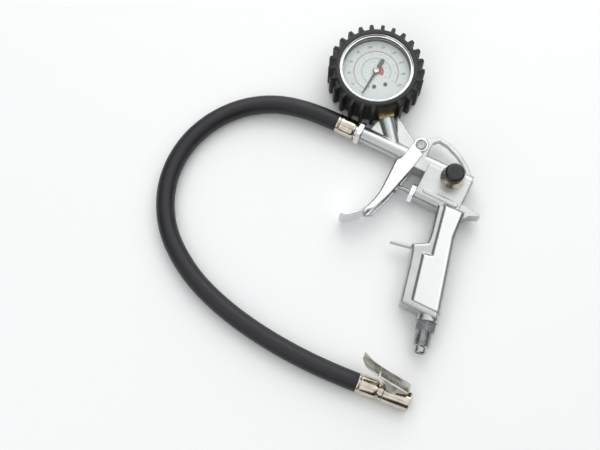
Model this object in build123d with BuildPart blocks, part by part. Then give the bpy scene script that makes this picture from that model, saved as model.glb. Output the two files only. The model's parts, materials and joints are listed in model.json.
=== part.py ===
from build123d import *
import os
from math import atan2, cos, degrees, hypot, pi, radians, sin, tan

# Tyre inflating gun: a cast pistol body with a lever trigger, a dial pressure gauge in a rubber
# boot, a side bleed valve, an inlet nipple under the grip and a hose with a clip-on chuck.
# It lies on its side. X runs back along the barrel, Y runs up the gun, Z stands off the table.
# All sizes are in millimetres. While it is drawn, x = 0 is the trigger pivot and y = 0 the barrel
# axis; at the end every piece moves so that the origin is the middle of the base of the gun's box.

os.makedirs("parts", exist_ok=True)

# ---------------------------------------------------------------- fits
RUN = 0.04          # radial clearance of a pin or shaft that turns or slides
SNUG = 0.03         # radial clearance of screwed and pressed pieces
FREE = 0.35         # gap between pieces that move past each other
SEAT = 0.15         # gap left where a moving piece stops against another
PAST = 1.0          # how far a cut runs past the face that it leaves by

# ---------------------------------------------------------------- casting
BLOCK_HALF = 8.5    # half thickness behind the trigger pivot
SHEET = 1.4         # trigger's sheet steel
PIN_PLAY = 0.05
PIVOT_HEAD = 0.9
TRIGGER_HALF = BLOCK_HALF + FREE + SHEET
MID_Z = TRIGGER_HALF + PIN_PLAY + PIVOT_HEAD    # casting's mid-plane, with the pivot pin's head on the table
BARREL_R = 6.75
BARREL_FRONT = -47.4
BORE_R = 3.0        # air passage along the barrel
PORT_R = 2.0        # cross passages
G18_R = 4.86        # pipe thread of the hose and gauge fittings
G18_DEPTH = 9.4
G14_R = 6.58        # pipe thread of the inlet
G14_DEPTH = 12.0
BLOCK_FRONT = -3.0
BLOCK_TOP = 6.0
BLOCK_BOTTOM = -9.3
HOUSING_HALF = 9.2
HOUSING_FRONT = 12.6
HOUSING_BACK = 49.4
HOUSING_TOP = -1.0
HOUSING_BOTTOM = -32.6
STRAP_HALF = 2.8    # hanging arch, guard rib and gauge webs
WEB_HALF = 3.0
SPUR_HALF = 6.0
GUARD_HALF = 2.0
GRIP_HALF = 9.6
PANEL_HALF = MID_Z  # raised grip panel, which touches the table
PANEL_STEP = PANEL_HALF - GRIP_HALF
BEAD_RISE = 0.7
GRIP_ROUND = 2.6
PANEL_ROUND = 5.0
PANEL_BEVEL = 2.4
HOUSING_ROUND = 5.5
BLOCK_ROUND = 5.0
INLET_RAKE = 12.0   # degrees that the inlet leans back from square to the barrel
INLET_AT = (65.15, -117.6)
INLET_BOSS_R = 8.7
INLET_BOSS_LONG = 24.0
NIPPLE_FLATS = 14.45
NIPPLE_HEX = 8.0
NIPPLE_GROOVE_R = 5.7
NIPPLE_THREAD_FROM = 8.5
NIPPLE_THREAD_TO = 19.5
NIPPLE_NOSE_R = 4.75
NIPPLE_END = 25.0

# ---------------------------------------------------------------- trigger
PIVOT_Y = 9.8
PIVOT_PIN_R = 2.5
PIVOT_HEAD_R = 4.6
EAR_R = 6.0
LUG_R = 5.3
LUG_TOP = 3.0
LEVER_FRONT = -13.2
LEVER_TOP = -11.0
LEVER_STRAIGHT_END = -35.0
BEND_1_R = 57.0
BEND_1_TURN = 21.6
BEND_2_R = 28.5
BEND_2_TURN = 46.8
FLANGE_END_TURN = 9.0
FLANGE_REAR = [(4.6, 3.0), (2.3, -10.0), (-5.2, -40.0), (-10.7, -56.0), (-14.7, -59.0)]
EAR_FRONT = [(-9.5, -8.0), (-8.5, -5.0), (-6.2, 8.0)]
CHANNEL_BEND_R = 3.2
TAIL_CORNER_R = 4.0
TAIL_LAP = 4.0      # degrees that the channel runs on into the flat tail
CHANNEL_CUT = [(40.0, -80.0), (40.0, 30.0), (-30.0, 30.0), (-30.0, LEVER_TOP)]  # clear of the lever all round

# ---------------------------------------------------------------- air valve
VALVE_Y = -27.2
ROD_R = 1.75
GLAND_R = 4.5
GLAND_FLATS = 14.0
GLAND_HEAD = 4.5
HEX_BEVEL = 0.6
GLAND_END = HOUSING_FRONT + 7.0
VALVE_R = 4.0
PACKING_END = GLAND_END + 2.6
SLEEVE_END = PACKING_END + 5.0
PORT_X = (PACKING_END + SLEEVE_END) / 2
SEAT_END = SLEEVE_END + 3.8
SEAT_HOLE_R = 2.6
CHAMBER_R = 3.75
CHAMBER_END = HOUSING_BACK - 3.4
POPPET_R = 3.2
SEAL_THICK = 1.4
POPPET_LONG = 4.0
SPRING_WIRE_R = 0.35
VALVE_SPRING_R = 2.9
VALVE_SPRING_TURNS = 5

# ---------------------------------------------------------------- bleed valve
BLEED_AT = (34.4, -4.6)
BLEED_FACE = MID_Z + HOUSING_HALF
BLEED_THREAD_R = 6.0
BLEED_THREAD = 8.0
BLEED_CHAMBER_R = 4.5
BLEED_DEPTH = 15.9
COLLAR_R = 10.0
COLLAR_RIM = 2.6
COLLAR_TOP = 6.4
COLLAR_SLOPE = 35.0
NECK_R = 6.3
NECK_TOP = 8.0
STEM_R = 1.5
BLEED_CAP_R = 7.9
BLEED_CAP_TOP = 15.6
BLEED_CAP_ROUND = 2.6
BLEED_CAP_ROOF = 2.4
BLEED_TRAVEL = 2.0
BLEED_VENT_R = 2.3
BLEED_HEAD_R = 3.75
BLEED_HEAD = 2.0
BLEED_SEAL = 1.2
BLEED_POCKET_R = 4.6
BLEED_POCKET_AT = 3.0
BLEED_SPRING_R = 3.6
BLEED_SPRING_TURNS = 5

# ---------------------------------------------------------------- gauge
CASE_R = 31.0
CASE_WALL = 0.8
WALL_R = CASE_R - CASE_WALL
STEM_ANGLE = -51.0  # direction of the stem, seen from above
STEM_FLAT_FROM = CASE_R + 0.6
BOSS_AT = STEM_FLAT_FROM + 8.0      # distance of the boss face from the gauge's middle
BOSS_FACE = (-35.279, 20.225)       # where the stem meets the boss face
GAUGE_AT = (BOSS_FACE[0] - BOSS_AT * cos(radians(STEM_ANGLE)),
            BOSS_FACE[1] - BOSS_AT * sin(radians(STEM_ANGLE)))
BOSS_R = 7.1
BOSS_LONG = 27.0
BOSS_TAPER = 3.0
PLATE_THICK = 1.0
DIAL_THICK = 0.8
GASKET_THICK = 0.8
LENS_THICK = 2.0
LOWER_PLATE = MID_Z + 2.0
UPPER_PLATE = LOWER_PLATE + 5.0
DIAL_AT = UPPER_PLATE + PLATE_THICK + 1.4
NEEDLE_Z = DIAL_AT + DIAL_THICK + 1.2
CASE_BACK = 2.2
CASE_FRONT = NEEDLE_Z + 2.4
LENS_TOP = CASE_FRONT + GASKET_THICK + LENS_THICK
BEZEL_TOP = LENS_TOP + 1.4
BOOT_TOP = BEZEL_TOP + 1.0
LENS_R = WALL_R - 0.2
CASE_LEDGE_R = CASE_R - 3.0
BEZEL_OPEN_R = CASE_R - 3.2
DIAL_R = CASE_LEDGE_R - 0.6
BOOT_R = CASE_R + 4.2
BOOT_LIP_R = CASE_R - 1.0
FIN_R = BOOT_R + 4.3
FIN_COUNT = 24
FIN_STEP = 14.1
FIN_ROOT = 2.9
FIN_TIP = 2.0
STEM_FLATS = 12.6
STEM_NECK_R = 5.0
SOCKET_TO = WALL_R - 1.2            # the socket inside the case that holds the Bourdon tube
SOCKET_FROM = SOCKET_TO - 10.0
SOCKET_HALF = 7.5
SOCKET_TALL = 12.0
SHELF_FROM = 6.0
SHELF_HALF = 6.0
SHELF_THICK = 3.0
TUBE_R = WALL_R - 7.0               # Bourdon tube's middle line
TUBE_HALF = 1.6
TUBE_TALL = 8.6
TUBE_END = 2.0      # where the tube's free end stands on its circle, in degrees
TUBE_SWEEP = 258.0
TUBE_WALL = 0.5
TIP_LONG = 3.0

# ---------------------------------------------------------------- gauge movement
GEAR_MODULE = 0.5
PINION_TEETH = 8
SECTOR_TEETH = 40   # teeth of the full wheel that the sector is cut from
PINION_R = GEAR_MODULE * PINION_TEETH / 2
SECTOR_R = GEAR_MODULE * SECTOR_TEETH / 2
SECTOR_Z = LOWER_PLATE + 1.8
SECTOR_THICK = 1.0
TAIL_LONG = 6.5
TAIL_ANGLE = -27.0
ARBOR_R = 0.7
HUB_R = 2.0
TOOTH_WIDE = 0.3    # share of the pitch that a tooth takes
TOOTH_TALL = 0.35
TOOTH_FLARE = 0.3   # share of that width gained at the root and lost at the tip
SECTOR_FROM = 27.0
SECTOR_TO = 99.0
SECTOR_EDGE = 3.0
PLATE_HALF = 8.8
PLATE_TOP = 7.6
PLATE_CORNER_R = 2.0
PILLAR_X = 7.2
PILLAR_INSET = 1.0
LINK_Z = MID_Z + TUBE_TALL / 2 + 0.8
LINK_THICK = 0.8
LINK_EYE_R = 1.2
LINK_PIN_R = 0.45
POST_R = 1.1
HAIR_Z = LINK_Z + 0.3
HAIR_TALL = 0.4
HAIR_WIDE = 0.2
HAIR_STEP = 0.4
HAIR_FIRST_R = 1.3
HAIR_HALF_TURNS = 14
NEEDLE_REST = -93.5
NEEDLE_THICK = 0.5
NEEDLE_TIP = 24.0
NEEDLE_TAIL = 12.0
NEEDLE_TIP_HALF = 0.25
NEEDLE_TAIL_HALF = 1.6
NEEDLE_HUB_R = 2.8
CAP_R = 1.7
CAP_TALL = 1.3
SCREW_HEAD_TALL = 0.8
SCREW_AT = 13.7     # dial screws, from the middle of the dial
SCREW_SPREAD = 20.0
SCREW_HEAD_R = 1.6
SCREW_R = 0.8
STOP_AT = 15.0
STOP_R = 0.5

# ---------------------------------------------------------------- hose and chuck
HOSE_R = 7.5
HOSE_BORE_R = 3.5
HOSE_LOW = HOSE_R + 0.1             # height of the hose's middle where it lies on the table
FERRULE_R = HOSE_R + 0.5
FERRULE_LONG = 16.2
FERRULE_WALL = 1.1
FERRULE_GAP = 1.5   # bare neck between the hexagon and the ferrule
HEX_FLATS = 17.0
HEX_THICK = 4.4
HOSE_FACE = BARREL_FRONT - HEX_THICK - FERRULE_GAP - FERRULE_LONG   # where the free hose begins
CHUCK_AT = (38.0, -183.0)
CHUCK_Z = FERRULE_R + 0.1
LAST_BEND = (10.0, -186.0)
CHUCK_ANGLE = degrees(atan2(CHUCK_AT[1] - LAST_BEND[1], CHUCK_AT[0] - LAST_BEND[0]))
CHUCK_ROLL = 50.0   # the clip lever stands this far up from the table
FERRULE_ROUND = 1.0
BARB_R = HOSE_BORE_R - SNUG
BARB_FROM = 1.7     # barbs start this far inside the ends of the hose
BARB_LONG = FERRULE_GAP + FERRULE_LONG - BARB_FROM
BARB_BORE_R = 2.5
FITTING_GROOVE_R = 6.0
COLLAR_FROM = FERRULE_LONG + 1.3
CHUCK_COLLAR_R = 7.6
CHUCK_R = 7.7
CHUCK_FROM = COLLAR_FROM + 3.0
CHUCK_TO = CHUCK_FROM + 21.8
CHUCK_THREAD_R = 4.85
CHUCK_THREAD_TO = CHUCK_FROM + 8.5
MOUTH_R = 4.2
MOUTH_DEEP = 5.9
SEAL_R = 5.0
SEAL_LONG = 3.1
DEPRESSOR_THICK = 1.0
DEPRESSOR_PIN_R = 0.9
SEAL_TO = CHUCK_TO - MOUTH_DEEP
POCKET_FROM = SEAL_TO - SEAL_LONG - DEPRESSOR_THICK
CHUCK_SEAL_HOLE_R = 2.2
LEVER_PIVOT = (CHUCK_FROM + 6.5, CHUCK_R + 4.5)
LEVER_PIN_R = 1.2
LEVER_HALF = 6.0
LEVER_SHEET = 1.2
LEVER_EAR_R = 3.4
LEVER_WEB = [(-29.0, 12.2), (-14.0, 7.6), (-7.0, 5.3), (11.0, 1.2)]     # from the pivot
JAW_AT = LEVER_PIVOT[0] + LEVER_WEB[-1][0]
JAW_HALF = 2.2
JAW_REACH = MOUTH_R + SEAT
JAW_SLOT_TO = JAW_AT + 3.0
LUG_THICK = 1.2
CHUCK_LUG_R = 2.0
LUG_FOOT = 3.2
LUG_GAP_TALL = 8.0
EAR_OUTLINE = [(-9.5, 5.8), (10.0, 1.0), (10.0, -0.6), (3.0, -2.6), (-3.0, -2.6), (-8.5, 2.4)]  # likewise
CHUCK_BEVEL = 0.6
VENT_R = 0.7
VENT_AT = 2.1
VENT_COUNT = 3
WINDOW_FROM = -15.0         # from the pivot
WINDOW_LONG = 7.0
WINDOW_TALL = 16.0
WINDOW_HALF = 3.0
LEVER_HEAD_R = 1.9
LEVER_HEAD = 0.6
CHUCK_SPRING_TURNS = 4
CHUCK_SPRING_R = 1.75
CHUCK_SPRING_WIRE_R = 0.3


# ================================================================ planes and small helpers
MID = Plane.XY.offset(MID_Z)


def across_barrel(x, y=0.0):
    """Plane square to the barrel at x, its normal pointing back to the hand."""
    return Plane(origin=(x, y, MID_Z), x_dir=(0, 1, 0), z_dir=(1, 0, 0))


def across_inlet(s):
    """Plane square to the inlet, s out from the casting's inlet face."""
    lean = radians(INLET_RAKE)
    out = (sin(lean), -cos(lean), 0)
    at = (INLET_AT[0] + s * out[0], INLET_AT[1] + s * out[1], MID_Z)
    return Plane(origin=at, x_dir=(0, 0, 1), z_dir=out)


def across_stem(r):
    """Plane square to the gauge stem, r out from the gauge's middle."""
    out = (cos(radians(STEM_ANGLE)), sin(radians(STEM_ANGLE)), 0)
    at = (GAUGE_AT[0] + r * out[0], GAUGE_AT[1] + r * out[1], MID_Z)
    return Plane(origin=at, x_dir=(0, 0, 1), z_dir=out)


def dial_plane(z):
    """Plane of the gauge at height z, its y axis pointing away from the stem."""
    turn = radians(STEM_ANGLE + 90)
    return Plane(origin=(*GAUGE_AT, z), x_dir=(cos(turn), sin(turn), 0), z_dir=(0, 0, 1))


def around_dial(angle, z=MID_Z):
    """Plane across the Bourdon tube, at angle (degrees) round the gauge from the dial plane's x axis."""
    turn = radians(STEM_ANGLE + 90 + angle)
    at = (GAUGE_AT[0] + TUBE_R * cos(turn), GAUGE_AT[1] + TUBE_R * sin(turn), z)
    return Plane(origin=at, x_dir=(cos(turn), sin(turn), 0), z_dir=(-sin(turn), cos(turn), 0))


def chuck_plane():
    """Plane through the chuck's axis and its lever: x to the mouth, y towards the lever."""
    yaw, roll = radians(CHUCK_ANGLE), radians(CHUCK_ROLL)
    ahead = Vector(cos(yaw), sin(yaw), 0)
    up = Vector(-sin(yaw) * cos(roll), cos(yaw) * cos(roll), sin(roll))
    return Plane(origin=(*CHUCK_AT, CHUCK_Z), x_dir=ahead, z_dir=ahead.cross(up))


def across_chuck(s):
    """Plane square to the chuck, s on from the hose's end, its normal pointing to the mouth."""
    side = chuck_plane()
    return Plane(origin=side.from_local_coords(Vector(s, 0, 0)), x_dir=side.y_dir, z_dir=side.x_dir)


def bleed_plane(z):
    """Plane of the bleed valve, z above the housing's face."""
    return Plane.XY.offset(BLEED_FACE + z)


def polar(r, angle):
    """Point at r and angle (degrees) in a sketch."""
    return (r * cos(radians(angle)), r * sin(radians(angle)))


def spring_coil(plane, radius, height, turns, wire_r):
    """Helical spring standing on a plane."""
    with BuildPart() as coil:
        with BuildLine():
            path = Helix(pitch=height / turns, height=height, radius=radius)
        with BuildSketch(Plane(origin=path @ 0, z_dir=path % 0)):
            Circle(wire_r)
        sweep(path=path, is_frenet=True)
    return coil.part.moved(plane.location)


pieces = {}


def keep(name, part):
    """File a finished piece under its node's name."""
    part.label = name
    pieces[name] = part


# ================================================================ casting
GRIP = [(33, -28), (38.7, -56.5), (38.9, -61.5), (28.4, -67.6), (31.2, -74.5), (34.1, -86.3),
        (40.1, -114.2), (71.6, -114.2), (55.0, -46.3), (54.0, -28)]
PANEL = [(37, -26.5), (45.2, -69.3), (38.4, -71.0), (46.6, -108.9), (71.9, -108.9), (55.7, -43),
         (54.8, -26.5)]
ARCH = [(-4, 14.6), (4.2, 21.1), (10.7, 25.2), (19.2, 24.1), (29.2, 20.6), (39.2, 14.1),
        (47.2, 6.6), (50.4, 1.6), (50.4, -15.4), (40, -15.4), (7.7, 0), (-4, 0)]
OPENING = [(7.7, BLOCK_TOP), (7.7, 18.2), (11.9, 22.2), (19.2, 21.2), (29.2, 17), (36, 12.6),
           (42, 7.4), (42.5, BLOCK_TOP)]
SPUR = [(49, -19.6), (65.2, -21.4), (66.9, -23.3), (59.1, -26.6), (55.8, -30.5), (54, -36),
        (46, -34)]
GUARD = [(36, -63.3), (29.2, -66.4), (12.9, -71.0), (12.4, -73.0), (29.5, -69.4), (36, -70)]
BACK_WEB = [(-29, 27), (-6.2, 12.6), (-3, 4), (-16, 2)]
FRONT_WEB = [(-43, 4), (-41.2, 15.0), (-36, 17.5), (-22, 3)]
BEAD_AT = (32.6, -24.0)
BEAD_LONG = 30.0
BEAD_WIDE = 3.6


def outline(points):
    """Face inside straight-sided points, added to the sketch being drawn."""
    return Polygon(*points, align=None)


# raised panel that the palm holds: bevelled border, round along the back of the hand
with BuildPart() as grip_panel:
    with BuildSketch(MID):
        outline(PANEL)
    extrude(amount=PANEL_HALF, both=True)
    border = grip_panel.faces().filter_by(Axis.Z).edges()
    back_of_hand = border.sort_by(lambda edge: edge.length)[-2:]
    fillet(back_of_hand, radius=PANEL_ROUND)
    for side in grip_panel.faces().filter_by(Axis.Z):
        bevelled = side.edges().sort_by(Axis.X)[:-2]
        chamfer(bevelled, length=PANEL_BEVEL, length2=PANEL_STEP, reference=side)

# valve housing, with a round underside
with BuildPart() as housing:
    with BuildSketch(MID):
        with Locations(((HOUSING_FRONT + HOUSING_BACK) / 2, (HOUSING_TOP + HOUSING_BOTTOM) / 2)):
            Rectangle(HOUSING_BACK - HOUSING_FRONT, HOUSING_TOP - HOUSING_BOTTOM)
    extrude(amount=HOUSING_HALF, both=True)
    fillet(housing.edges().filter_by(Axis.X).group_by(Axis.Y)[0], radius=HOUSING_ROUND)
    fillet(housing.edges().filter_by(Axis.X).group_by(Axis.Y)[-1], radius=SHEET)

# block behind the pivot, round on top
with BuildPart() as block:
    with BuildSketch(across_barrel(BLOCK_FRONT)):
        with Locations(((BLOCK_TOP + BLOCK_BOTTOM) / 2, 0)):
            Rectangle(BLOCK_TOP - BLOCK_BOTTOM, 2 * BLOCK_HALF)
    extrude(amount=HOUSING_BACK - BLOCK_FRONT)
    fillet(block.edges().filter_by(Axis.X).group_by(Axis.Y)[-1], radius=BLOCK_ROUND)

with BuildPart() as gun_body:
    # grip, palm panel, housing and block
    with BuildSketch(MID):
        outline(GRIP)
    extrude(amount=GRIP_HALF, both=True)
    fillet(gun_body.faces().filter_by(Axis.Z).edges(), radius=GRIP_ROUND)
    add(grip_panel.part)
    add(housing.part)
    add(block.part)
    # barrel, gauge boss and inlet boss
    with BuildSketch(across_barrel(BARREL_FRONT)):
        Circle(BARREL_R)
    extrude(amount=HOUSING_FRONT - BARREL_FRONT)
    with BuildSketch(across_stem(BOSS_AT)):
        Circle(BOSS_R)
    extrude(amount=BOSS_LONG, taper=BOSS_TAPER)
    with BuildSketch(across_inlet(0)):
        Circle(INLET_BOSS_R)
    extrude(amount=-INLET_BOSS_LONG)
    # webs, hanging arch, thumb spur and finger rib
    for points, half in ((BACK_WEB, WEB_HALF), (FRONT_WEB, WEB_HALF), (ARCH, STRAP_HALF),
                         (SPUR, SPUR_HALF), (GUARD, GUARD_HALF)):
        with BuildSketch(MID):
            outline(points)
        extrude(amount=half, both=True)
    # pivot lug between the trigger's ears
    with BuildSketch(MID):
        with Locations((0, PIVOT_Y)):
            Circle(LUG_R)
        outline([(-LUG_R, 0), (OPENING[0][0], 0), (OPENING[0][0], PIVOT_Y + LUG_TOP), (0, PIVOT_Y + LUG_R),
                 (-LUG_R, PIVOT_Y)])
    extrude(amount=BLOCK_HALF, both=True)
    with BuildSketch(MID):
        outline(OPENING)
    extrude(amount=BLOCK_HALF + PAST, both=True, mode=Mode.SUBTRACT)
    # raised bead on both sides of the housing
    for side in (Plane.XY.offset(MID_Z + HOUSING_HALF), Plane.XY.offset(MID_Z - HOUSING_HALF)):
        with BuildSketch(side):
            with Locations(BEAD_AT):
                SlotOverall(BEAD_LONG, BEAD_WIDE)
        extrude(amount=BEAD_RISE, both=True)
    # hose thread, air passage, gauge thread and its passage
    with BuildSketch(across_barrel(BARREL_FRONT)):
        Circle(G18_R)
    extrude(amount=G18_DEPTH, mode=Mode.SUBTRACT)
    with BuildSketch(across_barrel(BARREL_FRONT)):
        Circle(BORE_R)
    extrude(amount=BLEED_AT[0] - BARREL_FRONT, mode=Mode.SUBTRACT)
    with BuildSketch(across_stem(BOSS_AT)):
        Circle(G18_R)
    extrude(amount=G18_DEPTH, mode=Mode.SUBTRACT)
    with BuildSketch(across_stem(BOSS_AT)):
        Circle(PORT_R)
    extrude(amount=BOSS_LONG, mode=Mode.SUBTRACT)
    # valve bores, from the gland's thread to the blind chamber, and the port up to the barrel
    for start, end, radius in ((HOUSING_FRONT, GLAND_END, GLAND_R), (GLAND_END, SEAT_END, VALVE_R),
                               (SEAT_END, CHAMBER_END, CHAMBER_R)):
        with BuildSketch(across_barrel(start, VALVE_Y)):
            Circle(radius)
        extrude(amount=end - start, mode=Mode.SUBTRACT)
    with BuildSketch(Plane(origin=(PORT_X, VALVE_Y, MID_Z), x_dir=(1, 0, 0), z_dir=(0, 1, 0))):
        Circle(PORT_R)
    extrude(amount=-VALVE_Y, mode=Mode.SUBTRACT)
    # inlet thread and the passage up the grip to the valve chamber
    with BuildSketch(across_inlet(0)):
        Circle(G14_R)
    extrude(amount=-G14_DEPTH, mode=Mode.SUBTRACT)
    with BuildSketch(across_inlet(0)):
        Circle(BORE_R)
    extrude(amount=-(VALVE_Y - INLET_AT[1]) / cos(radians(INLET_RAKE)), mode=Mode.SUBTRACT)
    # spot face under the bleed collar, bleed valve bores and the pivot pin's hole
    with BuildSketch(bleed_plane(0)):
        with Locations(BLEED_AT):
            Circle(COLLAR_R + PAST)
    extrude(amount=COLLAR_TOP, mode=Mode.SUBTRACT)
    with BuildSketch(bleed_plane(0)):
        with Locations(BLEED_AT):
            Circle(BLEED_THREAD_R)
    extrude(amount=-BLEED_THREAD - SEAT, mode=Mode.SUBTRACT)
    with BuildSketch(bleed_plane(0)):
        with Locations(BLEED_AT):
            Circle(BLEED_CHAMBER_R)
    extrude(amount=-BLEED_DEPTH, mode=Mode.SUBTRACT)
    with BuildSketch(MID):
        with Locations((0, PIVOT_Y)):
            Circle(PIVOT_PIN_R + RUN)
    extrude(amount=BLOCK_HALF + PAST, both=True, mode=Mode.SUBTRACT)
keep("gun_body", gun_body.part)

# ================================================================ trigger
FIRST_CENTRE = Vector(LEVER_FRONT - BEND_1_R, LEVER_STRAIGHT_END)
TIP_CENTRE = FIRST_CENTRE + Vector(BEND_1_R - BEND_2_R, 0).rotate(Axis.Z, -BEND_1_TURN)


def lever_prism(inset, half, corner, reach, closing):
    """Solid behind the lever's front curve, set in by inset, reaching this far (degrees) into the tail."""
    with BuildPart() as prism:
        with BuildSketch(MID):
            with BuildLine():
                front = LEVER_FRONT + inset
                straight = Line((front, LEVER_TOP), (front, LEVER_STRAIGHT_END))
                bend = JernArc(straight @ 1, straight % 1, BEND_1_R + inset, -BEND_1_TURN)
                tip = JernArc(bend @ 1, bend % 1, BEND_2_R + inset, -reach)
                Polyline(tip @ 1, *closing, straight @ 0)
            make_face()
        extrude(amount=half, both=True)
        sides = prism.faces().filter_by(Axis.Z).edges()
        curved = sides.filter_by(GeomType.CIRCLE)
        upright = sides.filter_by(lambda edge: abs(edge.center().X - front) < SNUG)
        fillet(curved + upright, radius=corner)
    return prism.part


with BuildPart() as trigger:
    add(lever_prism(0, TRIGGER_HALF, CHANNEL_BEND_R, FLANGE_END_TURN + TAIL_LAP,
                    [*reversed(FLANGE_REAR), *reversed(EAR_FRONT)]))
    with BuildSketch(MID):
        with Locations((0, PIVOT_Y)):
            Circle(EAR_R)
    extrude(amount=TRIGGER_HALF, both=True)
    add(lever_prism(SHEET, TRIGGER_HALF - SHEET, CHANNEL_BEND_R - SHEET, FLANGE_END_TURN,
                    CHANNEL_CUT), mode=Mode.SUBTRACT)
    # the tail that curls forward under the fingers, one sheet thick
    with BuildSketch(MID):
        with BuildLine():
            turn = BEND_2_TURN - FLANGE_END_TURN
            start = -BEND_1_TURN - FLANGE_END_TURN
            outer = CenterArc(TIP_CENTRE, BEND_2_R, start, -turn)
            inner = CenterArc(TIP_CENTRE, BEND_2_R + SHEET, start, -turn)
            Line(outer @ 0, inner @ 0)
            Line(outer @ 1, inner @ 1)
        make_face()
    extrude(amount=TRIGGER_HALF, both=True)
    tail_end = (outer @ 1).X + 2 * SHEET
    sheet_edges = trigger.edges().filter_by(lambda edge: edge.length < 2 * SHEET)
    fillet(sheet_edges.filter_by(lambda edge: edge.center().X < tail_end), radius=TAIL_CORNER_R)
    with BuildSketch(MID):
        with Locations((0, PIVOT_Y)):
            Circle(PIVOT_PIN_R + RUN)
    extrude(amount=TRIGGER_HALF, both=True, mode=Mode.SUBTRACT)
keep("trigger", trigger.part)

with BuildPart() as trigger_pin:
    with BuildSketch(MID):
        with Locations((0, PIVOT_Y)):
            Circle(PIVOT_PIN_R)
    extrude(amount=TRIGGER_HALF + PIN_PLAY, both=True)
    for side in (1, -1):
        with BuildSketch(Plane.XY.offset(MID_Z + side * (TRIGGER_HALF + PIN_PLAY))):
            with Locations((0, PIVOT_Y)):
                Circle(PIVOT_HEAD_R)
        extrude(amount=side * PIVOT_HEAD)
    fillet(trigger_pin.faces().filter_by(Axis.Z).sort_by(Axis.Z)[-1].edges(), radius=PIVOT_HEAD / 2)
keep("trigger_pin", trigger_pin.part)


# ================================================================ air valve
def along_valve(name, steps):
    """Round piece on the valve's axis: (from x, to x, outer radius, hole radius) for each step."""
    with BuildPart() as turned:
        for start, end, radius, hole in steps:
            with BuildSketch(across_barrel(start, VALVE_Y)):
                Circle(radius)
                if hole:
                    Circle(hole, mode=Mode.SUBTRACT)
            extrude(amount=end - start)
    keep(name, turned.part)


ROD_FRONT = LEVER_FRONT + SHEET + SEAT
SEAL_AT = SEAT_END + SEAT
POPPET_AT = SEAL_AT + SEAL_THICK
POPPET_BACK = POPPET_AT + POPPET_LONG
along_valve("push_rod", [(ROD_FRONT, POPPET_BACK - SEAL_THICK, ROD_R, 0)])
along_valve("gland_packing", [(GLAND_END, PACKING_END, VALVE_R - SNUG, ROD_R + RUN)])
along_valve("valve_seat", [(SLEEVE_END, SEAT_END, VALVE_R - SNUG, SEAT_HOLE_R)])
along_valve("poppet_seal", [(SEAL_AT, POPPET_AT, POPPET_R, ROD_R + SNUG)])
along_valve("valve_poppet", [(POPPET_AT, POPPET_BACK - SEAL_THICK, POPPET_R, ROD_R + SNUG),
                             (POPPET_BACK - SEAL_THICK, POPPET_BACK, POPPET_R, 0)])

with BuildPart() as gland_nut:
    with BuildSketch(across_barrel(HOUSING_FRONT, VALVE_Y)):
        RegularPolygon(radius=GLAND_FLATS / 2, side_count=6, major_radius=False)
    extrude(amount=-GLAND_HEAD)
    chamfer(gland_nut.faces().sort_by(Axis.X)[0].edges(), length=HEX_BEVEL)
    with BuildSketch(across_barrel(HOUSING_FRONT, VALVE_Y)):
        Circle(GLAND_R - SNUG)
    extrude(amount=GLAND_END - HOUSING_FRONT)
    with BuildSketch(across_barrel(HOUSING_FRONT - GLAND_HEAD, VALVE_Y)):
        Circle(ROD_R + RUN)
    extrude(amount=GLAND_END - HOUSING_FRONT + GLAND_HEAD, mode=Mode.SUBTRACT)
keep("gland_nut", gland_nut.part)

with BuildPart() as valve_sleeve:
    with BuildSketch(across_barrel(PACKING_END, VALVE_Y)):
        Circle(VALVE_R - SNUG)
        Circle(CHAMBER_R - SNUG - RUN - FREE, mode=Mode.SUBTRACT)
    extrude(amount=SLEEVE_END - PACKING_END)
    with BuildSketch(Plane(origin=(PORT_X, VALVE_Y, MID_Z), x_dir=(1, 0, 0), z_dir=(0, 1, 0))):
        Circle(PORT_R)
    extrude(amount=GLAND_FLATS, mode=Mode.SUBTRACT)
keep("valve_sleeve", valve_sleeve.part)

spring_room = CHAMBER_END - POPPET_BACK - 2 * SPRING_WIRE_R - 2 * SNUG
keep("valve_spring", spring_coil(across_barrel(POPPET_BACK + SPRING_WIRE_R + SNUG, VALVE_Y),
                                 VALVE_SPRING_R, spring_room, VALVE_SPRING_TURNS, SPRING_WIRE_R))


# ================================================================ bleed valve
def on_bleed(name, steps):
    """Round piece on the bleed valve's axis: (from z, to z, outer radius, hole radius) each step."""
    with BuildPart() as turned:
        for start, end, radius, hole in steps:
            with BuildSketch(bleed_plane(start)):
                with Locations(BLEED_AT):
                    Circle(radius)
                    if hole:
                        Circle(hole, mode=Mode.SUBTRACT)
            extrude(amount=end - start)
    keep(name, turned.part)


BLEED_SEAL_TOP = -BLEED_THREAD - SEAT
BLEED_HEAD_TOP = BLEED_SEAL_TOP - BLEED_SEAL
SKIRT_FROM = COLLAR_TOP + BLEED_TRAVEL + SEAT
CAP_CEILING = NECK_TOP + BLEED_TRAVEL + SEAT
STEM_TOP = BLEED_CAP_TOP - BLEED_CAP_ROOF
with BuildPart() as bleed_collar:
    for start, end, radius, slope in ((0, COLLAR_RIM, COLLAR_R, 0),
                                      (COLLAR_RIM, COLLAR_TOP, COLLAR_R, COLLAR_SLOPE),
                                      (COLLAR_TOP, NECK_TOP, NECK_R, 0),
                                      (0, -BLEED_THREAD, BLEED_THREAD_R - SNUG, 0)):
        with BuildSketch(bleed_plane(start)):
            with Locations(BLEED_AT):
                Circle(radius)
        extrude(amount=end - start, taper=slope)
    for start, end, radius in ((-BLEED_THREAD, NECK_TOP, BLEED_VENT_R),
                               (BLEED_POCKET_AT, NECK_TOP, BLEED_POCKET_R)):
        with BuildSketch(bleed_plane(start)):
            with Locations(BLEED_AT):
                Circle(radius)
        extrude(amount=end - start, mode=Mode.SUBTRACT)
keep("bleed_collar", bleed_collar.part)

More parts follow.
